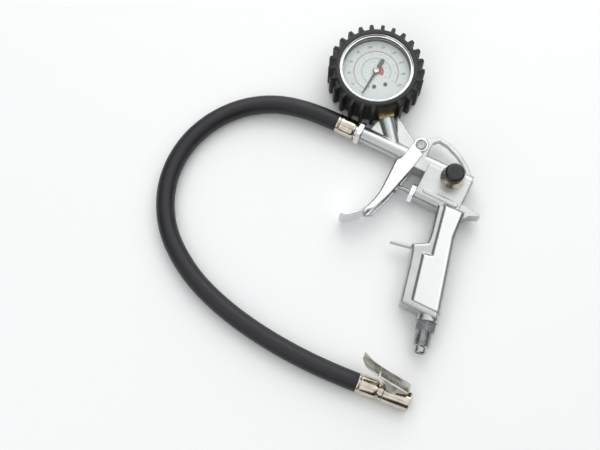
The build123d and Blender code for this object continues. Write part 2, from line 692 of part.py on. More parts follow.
with BuildPart() as bleed_cap:
    with BuildSketch(bleed_plane(SKIRT_FROM)):
        with Locations(BLEED_AT):
            Circle(BLEED_CAP_R)
    extrude(amount=BLEED_CAP_TOP - SKIRT_FROM)
    fillet(bleed_cap.faces().sort_by(Axis.Z)[-1].edges(), radius=BLEED_CAP_ROUND)
    with BuildSketch(bleed_plane(SKIRT_FROM)):
        with Locations(BLEED_AT):
            Circle(NECK_R + FREE)
    extrude(amount=CAP_CEILING - SKIRT_FROM, mode=Mode.SUBTRACT)
    with BuildSketch(bleed_plane(SKIRT_FROM)):
        with Locations(BLEED_AT):
            Circle(STEM_R + SNUG)
    extrude(amount=STEM_TOP - SKIRT_FROM, mode=Mode.SUBTRACT)
keep("bleed_cap", bleed_cap.part)
on_bleed("bleed_stem", [(BLEED_HEAD_TOP - BLEED_HEAD, BLEED_HEAD_TOP, BLEED_HEAD_R, 0),
                        (BLEED_HEAD_TOP, STEM_TOP, STEM_R, 0)])
on_bleed("bleed_seal", [(BLEED_HEAD_TOP, BLEED_SEAL_TOP, BLEED_HEAD_R, STEM_R + SNUG)])
bleed_room = CAP_CEILING - BLEED_POCKET_AT - 2 * SPRING_WIRE_R - 2 * SNUG
spring_foot = BLEED_FACE + BLEED_POCKET_AT + SPRING_WIRE_R + SNUG
keep("bleed_spring", spring_coil(Plane(origin=(*BLEED_AT, spring_foot)), BLEED_SPRING_R, bleed_room,
                                 BLEED_SPRING_TURNS, SPRING_WIRE_R))


# ================================================================ gauge case and boot
def on_dial(steps):
    """Round piece on the gauge's axis: (from z, to z, outer radius, hole radius) for each step."""
    with BuildPart() as turned:
        for start, end, radius, hole in steps:
            with BuildSketch(dial_plane(start)):
                Circle(radius)
                if hole:
                    Circle(hole, mode=Mode.SUBTRACT)
            extrude(amount=end - start)
    return turned.part


DIAL_TOP = DIAL_AT + DIAL_THICK
with BuildPart() as gauge_case:
    add(on_dial([(CASE_BACK, CASE_BACK + CASE_WALL, CASE_R, 0),
                         (CASE_BACK + CASE_WALL, CASE_FRONT, CASE_R, WALL_R),
                         (CASE_FRONT - CASE_WALL, CASE_FRONT, CASE_R, CASE_LEDGE_R)]))
    with BuildSketch(across_stem(SOCKET_TO)):
        Circle(STEM_NECK_R + SNUG)
    extrude(amount=STEM_FLAT_FROM - SOCKET_TO + PAST, mode=Mode.SUBTRACT)
keep("gauge_case", gauge_case.part)
keep("gauge_bezel", on_dial([(CASE_FRONT, LENS_TOP, CASE_R, WALL_R),
                                      (LENS_TOP, BEZEL_TOP, CASE_R, BEZEL_OPEN_R)]))
keep("lens_gasket", on_dial([(CASE_FRONT, CASE_FRONT + GASKET_THICK, LENS_R, CASE_LEDGE_R)]))
keep("gauge_lens", on_dial([(CASE_FRONT + GASKET_THICK, LENS_TOP, LENS_R, 0)]))

with BuildPart() as gauge_boot:
    add(on_dial([(0, CASE_BACK, BOOT_R, 0), (CASE_BACK, BEZEL_TOP, BOOT_R, CASE_R),
                         (BEZEL_TOP, BOOT_TOP, BOOT_R, BOOT_LIP_R)]))
    with BuildSketch(dial_plane(0)):
        with PolarLocations(0, FIN_COUNT, start_angle=90 - FIN_STEP * (FIN_COUNT - 1) / 2,
                            angular_range=FIN_STEP * (FIN_COUNT - 1), endpoint=True):
            Polygon((BOOT_R - PAST, -FIN_ROOT / 2), (FIN_R, -FIN_TIP / 2), (FIN_R, FIN_TIP / 2),
                    (BOOT_R - PAST, FIN_ROOT / 2), align=None)
    extrude(amount=BOOT_TOP)
    with BuildSketch(across_stem(SOCKET_TO)):
        Rectangle(STEM_FLATS + 2 * FREE, STEM_FLATS + 2 * FREE)
    extrude(amount=FIN_R - SOCKET_TO + PAST, mode=Mode.SUBTRACT)
keep("gauge_boot", gauge_boot.part)

# ================================================================ gauge stem, tube and movement
with BuildPart() as gauge_stem:
    # square for the spanner, neck through the case and thread in the casting's boss
    with BuildSketch(across_stem(STEM_FLAT_FROM)):
        Rectangle(STEM_FLATS, STEM_FLATS)
    extrude(amount=BOSS_AT - STEM_FLAT_FROM)
    with BuildSketch(across_stem(SOCKET_TO)):
        Circle(STEM_NECK_R)
    extrude(amount=STEM_FLAT_FROM - SOCKET_TO)
    with BuildSketch(across_stem(BOSS_AT)):
        Circle(G18_R - SNUG)
    extrude(amount=G18_DEPTH - 2 * SEAT)
    # socket that holds the tube, and the shelf under the movement
    with BuildSketch(across_stem(SOCKET_FROM)):
        Rectangle(SOCKET_TALL, 2 * SOCKET_HALF)
    extrude(amount=SOCKET_TO - SOCKET_FROM)
    with BuildSketch(across_stem(SHELF_FROM)):
        with Locations((LOWER_PLATE - MID_Z - SHELF_THICK / 2, 0)):
            Rectangle(SHELF_THICK, 2 * SHELF_HALF)
    extrude(amount=SOCKET_FROM - SHELF_FROM)
    # stem bore, and the cross hole to the tube
    with BuildSketch(across_stem(TUBE_R)):
        Circle(PORT_R)
    extrude(amount=BOSS_AT + G18_DEPTH - TUBE_R, mode=Mode.SUBTRACT)
    with BuildSketch(around_dial(-90)):
        Circle(TUBE_HALF - TUBE_WALL)
    extrude(amount=-SOCKET_HALF - PAST, mode=Mode.SUBTRACT)
keep("gauge_stem", gauge_stem.part)

# flattened Bourdon tube round the case, from its free end the long way to the socket
with BuildPart() as bourdon_tube:
    with BuildSketch(around_dial(TUBE_END)):
        Rectangle(2 * TUBE_HALF, TUBE_TALL)
        Rectangle(2 * (TUBE_HALF - TUBE_WALL), TUBE_TALL - 2 * TUBE_WALL, mode=Mode.SUBTRACT)
    revolve(axis=Axis((*GAUGE_AT, MID_Z), (0, 0, 1)), revolution_arc=TUBE_SWEEP)
    with BuildSketch(across_stem(SOCKET_FROM)):
        Rectangle(SOCKET_TALL, 2 * SOCKET_HALF)
    extrude(amount=SOCKET_TO - SOCKET_FROM, mode=Mode.SUBTRACT)
keep("bourdon_tube", bourdon_tube.part)

with BuildPart() as bourdon_tip:
    with BuildSketch(around_dial(TUBE_END)):
        Rectangle(2 * TUBE_HALF, TUBE_TALL)
    extrude(amount=-TIP_LONG)
keep("bourdon_tip", bourdon_tip.part)

SECTOR_AT = (0, -SECTOR_R - PINION_R)
TAIL = polar(TAIL_LONG, TAIL_ANGLE)
TAIL_AT = (SECTOR_AT[0] + TAIL[0], SECTOR_AT[1] + TAIL[1])
LINK_END = polar(TUBE_R, TUBE_END - degrees(TIP_LONG / 2 / TUBE_R))
SCREW_PLACES = [polar(SCREW_AT, -90 + side * SCREW_SPREAD) for side in (-1, 1)]
TOOTH_PITCH = pi * GEAR_MODULE


def tooth(radius):
    """Outline of one tooth that stands out along x from a gear of this pitch radius."""
    root, tip = radius - 2 * TOOTH_TALL, radius + TOOTH_TALL
    half = TOOTH_WIDE * TOOTH_PITCH / 2
    foot, crest = half * (1 + TOOTH_FLARE), half * (1 - TOOTH_FLARE)
    return [(root, -foot), (tip, -crest), (tip, crest), (root, foot)]


with BuildPart() as movement_plates:
    for low in (LOWER_PLATE, UPPER_PLATE):
        with BuildSketch(dial_plane(low)):
            with Locations((0, (PLATE_TOP - SOCKET_FROM + FREE) / 2)):
                RectangleRounded(2 * PLATE_HALF, PLATE_TOP + SOCKET_FROM - FREE, PLATE_CORNER_R)
            Circle(ARBOR_R + RUN, mode=Mode.SUBTRACT)
            with Locations(SECTOR_AT):
                Circle(ARBOR_R + RUN, mode=Mode.SUBTRACT)
        extrude(amount=PLATE_THICK)
    # pillars between the plates, posts under the dial, and the stud of the hairspring
    with BuildSketch(dial_plane(LOWER_PLATE + PLATE_THICK)):
        high, low = PLATE_TOP - POST_R - PILLAR_INSET, POST_R + FREE - SOCKET_FROM
        with Locations((PILLAR_X, high), (-PILLAR_X, high), (PILLAR_X, low), (-PILLAR_X, low)):
            Circle(POST_R)
    extrude(amount=UPPER_PLATE - LOWER_PLATE - PLATE_THICK)
    with BuildSketch(dial_plane(UPPER_PLATE + PLATE_THICK)):
        with Locations(*SCREW_PLACES):
            Circle(SCREW_HEAD_R)
    extrude(amount=DIAL_AT - UPPER_PLATE - PLATE_THICK)
    with BuildSketch(dial_plane(UPPER_PLATE)):
        with Locations(*SCREW_PLACES):
            Circle(SCREW_R + SNUG)
    extrude(amount=DIAL_AT - UPPER_PLATE, mode=Mode.SUBTRACT)
    with BuildSketch(dial_plane(HAIR_Z)):
        with Locations((HAIR_FIRST_R + HAIR_HALF_TURNS * HAIR_STEP / 2 + STOP_R, 0)):
            Circle(STOP_R)
    extrude(amount=UPPER_PLATE - HAIR_Z)
keep("movement_plates", movement_plates.part)

with BuildPart() as sector_gear:
    with BuildSketch(dial_plane(SECTOR_Z)):
        root = SECTOR_R - 2 * TOOTH_TALL
        with BuildLine():
            toothed = SECTOR_TO - SECTOR_FROM
            rim = CenterArc(SECTOR_AT, root + SNUG, SECTOR_FROM - SECTOR_EDGE, toothed + 2 * SECTOR_EDGE)
            Polyline(rim @ 1, SECTOR_AT, rim @ 0)
        make_face()
        with Locations(SECTOR_AT):
            with PolarLocations(0, round(toothed * SECTOR_TEETH / 360) + 1, start_angle=SECTOR_FROM,
                                angular_range=toothed, endpoint=True):
                Polygon(*tooth(SECTOR_R), align=None)
            Circle(HUB_R)
        with Locations(Location((*SECTOR_AT, 0), (0, 0, TAIL_ANGLE))):
            Rectangle(TAIL_LONG, 2 * LINK_EYE_R, align=(Align.MIN, Align.CENTER))
        with Locations(TAIL_AT):
            Circle(LINK_EYE_R)
            Circle(LINK_PIN_R + RUN, mode=Mode.SUBTRACT)
    extrude(amount=SECTOR_THICK)
    with BuildSketch(dial_plane(LOWER_PLATE)):
        with Locations(SECTOR_AT):
            Circle(ARBOR_R)
    extrude(amount=UPPER_PLATE + PLATE_THICK - LOWER_PLATE)
keep("sector_gear", sector_gear.part)

with BuildPart() as gauge_link:
    run = hypot(LINK_END[0] - TAIL_AT[0], LINK_END[1] - TAIL_AT[1])
    lean = degrees(atan2(LINK_END[1] - TAIL_AT[1], LINK_END[0] - TAIL_AT[0]))
    with BuildSketch(dial_plane(LINK_Z)):
        with Locations(Location((*TAIL_AT, 0), (0, 0, lean))):
            Rectangle(run, LINK_EYE_R, align=(Align.MIN, Align.CENTER))
        with Locations(TAIL_AT, LINK_END):
            Circle(LINK_EYE_R)
    extrude(amount=LINK_THICK)
    with BuildSketch(dial_plane(SECTOR_Z)):
        with Locations(TAIL_AT):
            Circle(LINK_PIN_R)
    extrude(amount=LINK_Z - SECTOR_Z)
keep("gauge_link", gauge_link.part)

with BuildPart() as hairspring:
    with BuildSketch(dial_plane(HAIR_Z)):
        with BuildLine():
            for half_turn in range(HAIR_HALF_TURNS):
                centre = (-HAIR_STEP / 4 if half_turn % 2 == 0 else HAIR_STEP / 4, 0)
                CenterArc(centre, HAIR_FIRST_R + half_turn * HAIR_STEP / 2, 180 * half_turn, 180)
        trace(line_width=HAIR_WIDE)
    extrude(amount=HAIR_TALL)
keep("hairspring", hairspring.part)

with BuildPart() as needle_spindle:
    with BuildSketch(dial_plane(LOWER_PLATE)):
        Circle(ARBOR_R)
    extrude(amount=NEEDLE_Z + NEEDLE_THICK - LOWER_PLATE)
    with BuildSketch(dial_plane(SECTOR_Z)):
        Circle(PINION_R - 2 * TOOTH_TALL + SNUG)
        with PolarLocations(0, PINION_TEETH, start_angle=-90 + 180 / PINION_TEETH):
            Polygon(*tooth(PINION_R), align=None)
    extrude(amount=SECTOR_THICK)
keep("needle_spindle", needle_spindle.part)

needle_plane = Plane(origin=(*GAUGE_AT, NEEDLE_Z), x_dir=(*polar(1, NEEDLE_REST), 0), z_dir=(0, 0, 1))
with BuildPart() as gauge_needle:
    with BuildSketch(needle_plane):
        outline([(-NEEDLE_TAIL, -NEEDLE_TAIL_HALF), (NEEDLE_TIP, -NEEDLE_TIP_HALF),
                 (NEEDLE_TIP, NEEDLE_TIP_HALF), (-NEEDLE_TAIL, NEEDLE_TAIL_HALF)])
        Circle(NEEDLE_HUB_R)
        Circle(ARBOR_R + SNUG, mode=Mode.SUBTRACT)
    extrude(amount=NEEDLE_THICK)
keep("gauge_needle", gauge_needle.part)
keep("needle_cap", on_dial([(NEEDLE_Z + NEEDLE_THICK, NEEDLE_Z + NEEDLE_THICK + CAP_TALL, CAP_R, 0)]))

with BuildPart() as gauge_dial:
    with BuildSketch(dial_plane(DIAL_AT)):
        Circle(DIAL_R)
        Circle(ARBOR_R + FREE, mode=Mode.SUBTRACT)
        with Locations(*SCREW_PLACES):
            Circle(SCREW_R + SNUG, mode=Mode.SUBTRACT)
    extrude(amount=DIAL_THICK)
keep("gauge_dial", gauge_dial.part)

with BuildPart() as dial_screws:
    with BuildSketch(dial_plane(DIAL_TOP)):
        with Locations(*SCREW_PLACES):
            Circle(SCREW_HEAD_R)
    extrude(amount=SCREW_HEAD_TALL)
    with BuildSketch(dial_plane(UPPER_PLATE)):
        with Locations(*SCREW_PLACES):
            Circle(SCREW_R)
    extrude(amount=DIAL_TOP - UPPER_PLATE)
keep("dial_screws", dial_screws.part)

with BuildPart() as needle_stop:
    share = (STOP_AT + NEEDLE_TAIL) / (NEEDLE_TIP + NEEDLE_TAIL)
    half_wide = NEEDLE_TAIL_HALF + (NEEDLE_TIP_HALF - NEEDLE_TAIL_HALF) * share
    with BuildSketch(Plane(origin=(*GAUGE_AT, DIAL_TOP), x_dir=needle_plane.x_dir, z_dir=(0, 0, 1))):
        with Locations((STOP_AT, half_wide + STOP_R + SEAT)):
            Circle(STOP_R)
    extrude(amount=NEEDLE_Z + NEEDLE_THICK + FREE - DIAL_TOP)
keep("needle_stop", needle_stop.part)


# ================================================================ inlet nipple
with BuildPart() as inlet_nipple:
    with BuildSketch(across_inlet(0)):
        RegularPolygon(radius=NIPPLE_FLATS / 2, side_count=6, major_radius=False)
    extrude(amount=NIPPLE_HEX)
    chamfer(inlet_nipple.faces().sort_by(Axis.Y)[0].edges(), length=HEX_BEVEL)
    for start, end, radius in ((-G14_DEPTH + SEAT, 0, G14_R - SNUG),
                               (NIPPLE_HEX, NIPPLE_THREAD_FROM, NIPPLE_GROOVE_R),
                               (NIPPLE_THREAD_FROM, NIPPLE_THREAD_TO, G14_R),
                               (NIPPLE_THREAD_TO, NIPPLE_END, NIPPLE_NOSE_R)):
        with BuildSketch(across_inlet(start)):
            Circle(radius)
        extrude(amount=end - start)
    with BuildSketch(across_inlet(-G14_DEPTH)):
        Circle(BORE_R)
    extrude(amount=G14_DEPTH + NIPPLE_END, mode=Mode.SUBTRACT)
keep("inlet_nipple", inlet_nipple.part)


# ================================================================ hose
ROUTE = [(HOSE_FACE, 0, MID_Z), (-105, 0, MID_Z), (-146, -19, HOSE_LOW + 0.6), (-171, -57, HOSE_LOW),
         (-174, -101, HOSE_LOW), (-155, -140, HOSE_LOW), (-121, -165, HOSE_LOW), (-84, -178, HOSE_LOW),
         (-40, -185, HOSE_LOW), (*LAST_BEND, CHUCK_Z), (*CHUCK_AT, CHUCK_Z)]


def bend_radius(before, corner, after):
    """Largest tangent arc at a corner of the route that its two runs leave room for."""
    arriving, leaving = Vector(*corner) - Vector(*before), Vector(*after) - Vector(*corner)
    return 0.45 * min(arriving.length, leaving.length) / tan(radians(arriving.get_angle(leaving) / 2))


bends = [bend_radius(*ROUTE[i:i + 3]) for i in range(len(ROUTE) - 2)]
with BuildPart() as hose_tube:
    with BuildLine():
        route = FilletPolyline(*ROUTE, radius=bends)
    with BuildSketch(Plane(origin=route @ 0, z_dir=route % 0)):
        Circle(HOSE_R)
        Circle(HOSE_BORE_R, mode=Mode.SUBTRACT)
    sweep(path=route)
keep("hose_tube", hose_tube.part)
section = pi * (HOSE_R ** 2 - HOSE_BORE_R ** 2)
print("hose bends", [round(bend) for bend in bends], "length", round(route.length, 1))
print("hose volume over section times length", round(hose_tube.part.volume / section / route.length, 4))

with BuildPart() as hose_fitting:
    with BuildSketch(across_barrel(BARREL_FRONT)):
        RegularPolygon(radius=HEX_FLATS / 2, side_count=6, major_radius=False)
    extrude(amount=-HEX_THICK)
    chamfer(hose_fitting.faces().sort_by(Axis.X)[0].edges(), length=HEX_BEVEL)
    for start, end, radius in ((0, G18_DEPTH - SEAT, G18_R - SNUG),
                               (-HEX_THICK, -HEX_THICK - BARB_LONG, BARB_R)):
        with BuildSketch(across_barrel(BARREL_FRONT + start)):
            Circle(radius)
        extrude(amount=end - start)
    with BuildSketch(across_barrel(BARREL_FRONT + G18_DEPTH)):
        Circle(BARB_BORE_R)
    extrude(amount=-G18_DEPTH - HEX_THICK - BARB_LONG, mode=Mode.SUBTRACT)
keep("hose_fitting", hose_fitting.part)


def hose_end(plane, name_end, name_ferrule):
    """Hose stretch and crimped ferrule from the hose's end face, along the plane's normal."""
    with BuildPart() as end:
        with BuildSketch(plane):
            Circle(FERRULE_R - FERRULE_WALL - SNUG)
            Circle(HOSE_BORE_R, mode=Mode.SUBTRACT)
        extrude(amount=FERRULE_LONG - FERRULE_WALL)
    keep(name_end, end.part)
    with BuildPart() as ferrule:
        with BuildSketch(plane):
            Circle(FERRULE_R)
        extrude(amount=FERRULE_LONG)
        fillet(ferrule.edges().filter_by(GeomType.CIRCLE), radius=FERRULE_ROUND)
        for depth, radius in ((FERRULE_LONG - FERRULE_WALL, FERRULE_R - FERRULE_WALL),
                              (FERRULE_LONG, HOSE_BORE_R)):
            with BuildSketch(plane):
                Circle(radius)
            extrude(amount=depth, mode=Mode.SUBTRACT)
    keep(name_ferrule, ferrule.part)


hose_end(across_barrel(HOSE_FACE), "hose_end_gun", "hose_ferrule_gun")
hose_end(across_chuck(0), "hose_end_chuck", "hose_ferrule_chuck")


# ================================================================ clip-on chuck
def along_chuck(name, steps):
    """Round piece on the chuck's axis: (from s, to s, outer radius, hole radius) for each step."""
    with BuildPart() as turned:
        for start, end, radius, hole in steps:
            with BuildSketch(across_chuck(start)):
                Circle(radius)
                if hole:
                    Circle(hole, mode=Mode.SUBTRACT)
            extrude(amount=end - start)
    keep(name, turned.part)


along_chuck("chuck_barb", [(BARB_FROM, FERRULE_LONG, BARB_R, BARB_BORE_R),
                           (FERRULE_LONG, COLLAR_FROM, FITTING_GROOVE_R, BARB_BORE_R),
                           (COLLAR_FROM, CHUCK_FROM, CHUCK_COLLAR_R, BARB_BORE_R),
                           (CHUCK_FROM, CHUCK_THREAD_TO, CHUCK_THREAD_R - SNUG, BARB_BORE_R)])
along_chuck("chuck_seal", [(POCKET_FROM + DEPRESSOR_THICK, SEAL_TO, SEAL_R - SNUG, CHUCK_SEAL_HOLE_R)])

def from_pivot(points):
    """Points given from the clip lever's pivot, on the chuck's plane."""
    return [(LEVER_PIVOT[0] + ahead, LEVER_PIVOT[1] + up) for ahead, up in points]


with BuildPart() as chuck_depressor:
    with BuildSketch(across_chuck(POCKET_FROM)):
        Circle(SEAL_R - SNUG)
        with PolarLocations(VENT_AT, VENT_COUNT):
            Circle(VENT_R, mode=Mode.SUBTRACT)
    extrude(amount=DEPRESSOR_THICK)
    with BuildSketch(across_chuck(POCKET_FROM)):
        Circle(DEPRESSOR_PIN_R)
    extrude(amount=SEAL_TO - SEAT - POCKET_FROM)
keep("chuck_depressor", chuck_depressor.part)

with BuildPart() as chuck_body:
    with BuildSketch(across_chuck(CHUCK_FROM)):
        Circle(CHUCK_R)
    extrude(amount=CHUCK_TO - CHUCK_FROM)
    chamfer(chuck_body.edges().filter_by(GeomType.CIRCLE), length=CHUCK_BEVEL)
    # two lugs for the lever's pin, with the spring's gap between them
    with BuildSketch(chuck_plane()):
        with Locations(LEVER_PIVOT):
            Circle(CHUCK_LUG_R)
        outline([(LEVER_PIVOT[0] - LUG_FOOT, CHUCK_R / 2), (LEVER_PIVOT[0] + LUG_FOOT, CHUCK_R / 2),
                 *from_pivot([(CHUCK_LUG_R, 0), (-CHUCK_LUG_R, 0)])])
    extrude(amount=LEVER_HALF - LEVER_SHEET - FREE, both=True)
    with BuildSketch(chuck_plane()):
        with Locations((LEVER_PIVOT[0], CHUCK_R + LUG_GAP_TALL / 2)):
            Rectangle(2 * (LUG_FOOT + PAST), LUG_GAP_TALL)
    extrude(amount=LEVER_HALF - LEVER_SHEET - FREE - LUG_THICK, both=True, mode=Mode.SUBTRACT)
    with BuildSketch(chuck_plane()):
        with Locations(LEVER_PIVOT):
            Circle(LEVER_PIN_R + RUN)
    extrude(amount=LEVER_HALF, both=True, mode=Mode.SUBTRACT)
    # thread, passage, seal's pocket and mouth, and the slot where the jaw comes through
    for start, end, radius in ((CHUCK_FROM, CHUCK_THREAD_TO, CHUCK_THREAD_R), (CHUCK_FROM, CHUCK_TO, PORT_R),
                               (POCKET_FROM, SEAL_TO, SEAL_R), (SEAL_TO, CHUCK_TO, MOUTH_R)):
        with BuildSketch(across_chuck(start)):
            Circle(radius)
        extrude(amount=end - start, mode=Mode.SUBTRACT)
    with BuildSketch(chuck_plane()):
        with Locations(((JAW_AT - FREE + JAW_SLOT_TO) / 2, CHUCK_R)):
            Rectangle(JAW_SLOT_TO - JAW_AT + FREE, 2 * (CHUCK_R - MOUTH_R + PAST))
    extrude(amount=JAW_HALF + FREE, both=True, mode=Mode.SUBTRACT)
keep("chuck_body", chuck_body.part)

with BuildPart() as chuck_lever:
    # web, a bent strip from the thumb tab to the jaw
    top = from_pivot(LEVER_WEB)
    under = [(s, up - LEVER_SHEET) for s, up in reversed(top)]
    jaw_top = top[-1][1]
    with BuildSketch(chuck_plane()):
        outline([*top, (JAW_AT + LEVER_SHEET, jaw_top), (JAW_AT + LEVER_SHEET, under[0][1]), *under])
    extrude(amount=LEVER_HALF, both=True)
    with BuildSketch(chuck_plane()):
        outline([(JAW_AT, jaw_top), (JAW_AT, JAW_REACH), (JAW_AT + LEVER_SHEET, JAW_REACH),
                 (JAW_AT + LEVER_SHEET, jaw_top)])
    extrude(amount=JAW_HALF, both=True)
    # ears down to the pin
    ears = from_pivot(EAR_OUTLINE)
    with BuildSketch(chuck_plane()):
        outline(ears)
        with Locations(LEVER_PIVOT):
            Circle(LEVER_EAR_R)
    extrude(amount=LEVER_HALF, both=True)
    with BuildSketch(chuck_plane()):
        outline([(ears[0][0] - PAST, 0), (ears[1][0], 0), *under[:-1]])
    extrude(amount=LEVER_HALF - LEVER_SHEET, both=True, mode=Mode.SUBTRACT)
    with BuildSketch(chuck_plane()):
        with Locations(LEVER_PIVOT):
            Circle(LEVER_PIN_R + RUN)
    extrude(amount=LEVER_HALF, both=True, mode=Mode.SUBTRACT)
    with BuildSketch(chuck_plane()):
        with Locations((LEVER_PIVOT[0] + WINDOW_FROM, LEVER_PIVOT[1])):
            Rectangle(WINDOW_LONG, WINDOW_TALL, align=(Align.MIN, Align.MIN))
    extrude(amount=WINDOW_HALF, both=True, mode=Mode.SUBTRACT)
keep("chuck_lever", chuck_lever.part)

with BuildPart() as chuck_lever_pin:
    with BuildSketch(chuck_plane()):
        with Locations(LEVER_PIVOT):
            Circle(LEVER_PIN_R)
    extrude(amount=LEVER_HALF + PIN_PLAY, both=True)
    for side in (1, -1):
        with BuildSketch(chuck_plane().offset(side * (LEVER_HALF + PIN_PLAY))):
            with Locations(LEVER_PIVOT):
                Circle(LEVER_HEAD_R)
        extrude(amount=side * LEVER_HEAD)
keep("chuck_lever_pin", chuck_lever_pin.part)

spring_half = LEVER_HALF - LEVER_SHEET - FREE - LUG_THICK - CHUCK_SPRING_WIRE_R - FREE
spring_side = chuck_plane().offset(-spring_half)
spring_at = Plane(origin=spring_side.from_local_coords(Vector(*LEVER_PIVOT, 0)), x_dir=spring_side.x_dir,
                  z_dir=spring_side.z_dir)
keep("chuck_spring", spring_coil(spring_at, CHUCK_SPRING_R, 2 * spring_half, CHUCK_SPRING_TURNS,
                                 CHUCK_SPRING_WIRE_R))

# ================================================================ common origin and files
ON_HOSE = ("hose_tube", "hose_ferrule_gun", "hose_end_gun", "hose_ferrule_chuck", "hose_end_chuck",
           "chuck_barb", "chuck_body", "chuck_seal", "chuck_depressor", "chuck_lever", "chuck_lever_pin",
           "chuck_spring")
boxes = [part.bounding_box() for name, part in pieces.items() if name not in ON_HOSE]
base = Vector((min(box.min.X for box in boxes) + max(box.max.X for box in boxes)) / 2,
              (min(box.min.Y for box in boxes) + max(box.max.Y for box in boxes)) / 2, 0)
print("origin in the drawing frame", round(base.X, 4), round(base.Y, 4))
for name, part in pieces.items():
    placed = part.moved(Location(-base))
    placed.label = name
    export_step(placed, f"parts/{name}.step")
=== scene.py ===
"""Tyre inflator gun: surfaces and finishes laid over its mechanical frame."""
import json
import math

import bmesh
import bpy
import numpy as np
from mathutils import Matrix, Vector


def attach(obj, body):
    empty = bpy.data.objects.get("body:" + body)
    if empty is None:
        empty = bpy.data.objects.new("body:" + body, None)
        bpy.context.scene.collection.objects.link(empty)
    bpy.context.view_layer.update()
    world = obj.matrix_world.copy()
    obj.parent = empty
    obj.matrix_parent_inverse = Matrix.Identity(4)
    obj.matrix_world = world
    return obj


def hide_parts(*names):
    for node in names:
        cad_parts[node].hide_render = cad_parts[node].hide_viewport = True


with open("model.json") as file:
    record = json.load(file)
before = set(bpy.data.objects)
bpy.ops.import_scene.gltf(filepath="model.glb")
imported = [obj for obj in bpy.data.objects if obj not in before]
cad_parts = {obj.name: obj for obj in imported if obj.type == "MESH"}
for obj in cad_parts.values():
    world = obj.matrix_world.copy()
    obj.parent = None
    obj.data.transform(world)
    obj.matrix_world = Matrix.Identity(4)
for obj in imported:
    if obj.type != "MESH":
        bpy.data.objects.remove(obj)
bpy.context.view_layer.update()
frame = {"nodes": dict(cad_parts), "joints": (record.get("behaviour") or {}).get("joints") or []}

bl_info = {
    "name": "Tyre inflator gun",
    "version": (1, 0, 0),
    "blender": (4, 5, 0),
    "location": "3D View > Sidebar > Inflator",
    "description": "Builds the hose, boot, dial, threads and finishes of a tyre inflator gun",
    "category": "Add Mesh",
}

MM = 0.001
NODES = frame["nodes"]
JOINTS = {joint["name"]: joint for joint in frame["joints"]}

# Sizes in mm. The drawing's origin is on the barrel's axis beside the trigger's pivot, on the table; x runs back
# along the barrel and y up the gun.
MID_Z = 11.2                # height of the casting's mid-plane, where the barrel's and the valve's axes lie
PIVOT_Y = 9.8
VALVE_Y = -27.2
DRAWING_ORIGIN = np.array(JOINTS["trigger_pull"]["pos_m"]) - np.array([0.0, PIVOT_Y, MID_Z]) * MM
PANEL_TOP = 22.4

# barrel, hose fitting and ferrules
BARREL_FRONT = -47.4
HEX_THICK, HEX_FLATS, HEX_CORNER_R = 4.4, 17.0, 10.2
BARB_R, BARB_BORE_R, BARB_LONG = 3.2, 2.5, 16.0
FITTING_NECK_R, FITTING_NECK_LONG = 6.4, 1.5
HOSE_FACE, HOSE_BORE_R = -69.5, 3.5
FERRULE_R, FERRULE_LONG, FERRULE_WALL = 8.0, 16.2, 1.1
BEAD_DEPTH = 0.35
CRIMPS, CRIMP_DEPTH = 8, 0.06

# gland nut and pivot rivet
HOUSING_FRONT = 12.6
GLAND_HEAD, GLAND_FLATS, GLAND_CORNER_R, GLAND_THREAD_R, ROD_HOLE_R = 4.5, 14.0, 8.4, 4.4, 1.8
RIVET_R, RIVET_HEAD_R, RIVET_HEAD = 2.5, 4.6, 0.9

# gauge: boot, bezel, dial and needle
DIAL_CENTRE = (np.array(JOINTS["needle_turn"]["pos_m"]) - DRAWING_ORIGIN) / MM
STEM_ANGLE = math.radians(-51.0)
BOOT_R, BOOT_LIP_R, CAVITY_R = 35.2, 30.0, 31.0
BOOT_TOP, BEZEL_TOP, CASE_BACK = 30.2, 29.2, 2.2
FIN_HALF, FIN_FLANK = 1.2, 0.55     # half a fin's flat top, and how wide each flank is
LENS_EDGE, LENS_FRONT, LENS_SEEN_R = 25.05, 27.85, 27.85
DIAL_TOP = 21.4
INK_THICK = 0.04
SCALE_SWEEP = 270.0
OUTER_SCALE_R, INNER_SCALE_R, NUMBER_R = 18.3, 11.9, 22.3
OUTER_NUMBER, OUTER_RING_R, INNER_RING_R, RING_NUMBER = 2.8, 15.6, 9.1, 1.5
MARK_ANGLES = (-142.0, -50.0)
NEEDLE_REST = math.radians(-93.5)
NEEDLE_AT, NEEDLE_THICK, NEEDLE_TAIL, NEEDLE_TIP, NEEDLE_HUB_R = 22.6, 0.5, -12.0, 24.0, 2.9
HUB_CAP_R = 2.4

# inlet
INLET_AT = (65.15, -117.6)
INLET_RAKE = math.radians(12.0)
INLET_FLATS, INLET_CORNER_R, INLET_HEX_TO = 14.45, 8.7, 8.0
CREST_R, THREAD_DEPTH, THREAD_FROM, THREAD_TO = 6.58, 0.86, 8.6, 19.5
NOSE_R, INLET_LONG, INLET_BORE_R = 4.75, 25.0, 3.0

# clip lever, on the chuck's axis
CHUCK_ROLL = math.radians(50.0)
LEVER_PIVOT = (27.0, 12.2)      # along and out from the chuck's axis
LEVER_HALF, LEVER_SHEET, JAW_HALF = 6.0, 1.2, 2.2
LEVER_EDGE = 0.9                # how far the sheet's plain edges are rolled over
CROWN, CREASE, CREASE_AT = 0.35, 0.45, -13.6
LEVER_PATH = [(-28.6, 16.6), (-27.6, 15.2), (-24.6, 12.0), (-19.6, 9.2), (-13.4, 7.2), (-6.6, 5.4),
              (0.5, 3.7), (7.0, 2.2), (10.6, 1.3), (11.9, 0.6), (11.9, -1.4), (11.9, -7.8)]     # from the pivot
EAR_AT = [-13.0, -9.0, -6.5, -2.6, 0.0, 3.0, 8.0, 10.5]    # along the lever from the pivot
EAR_DROP = [0, 0.9, 3.0, 7.4, 7.3, 5.6, 2.9, 0.9]

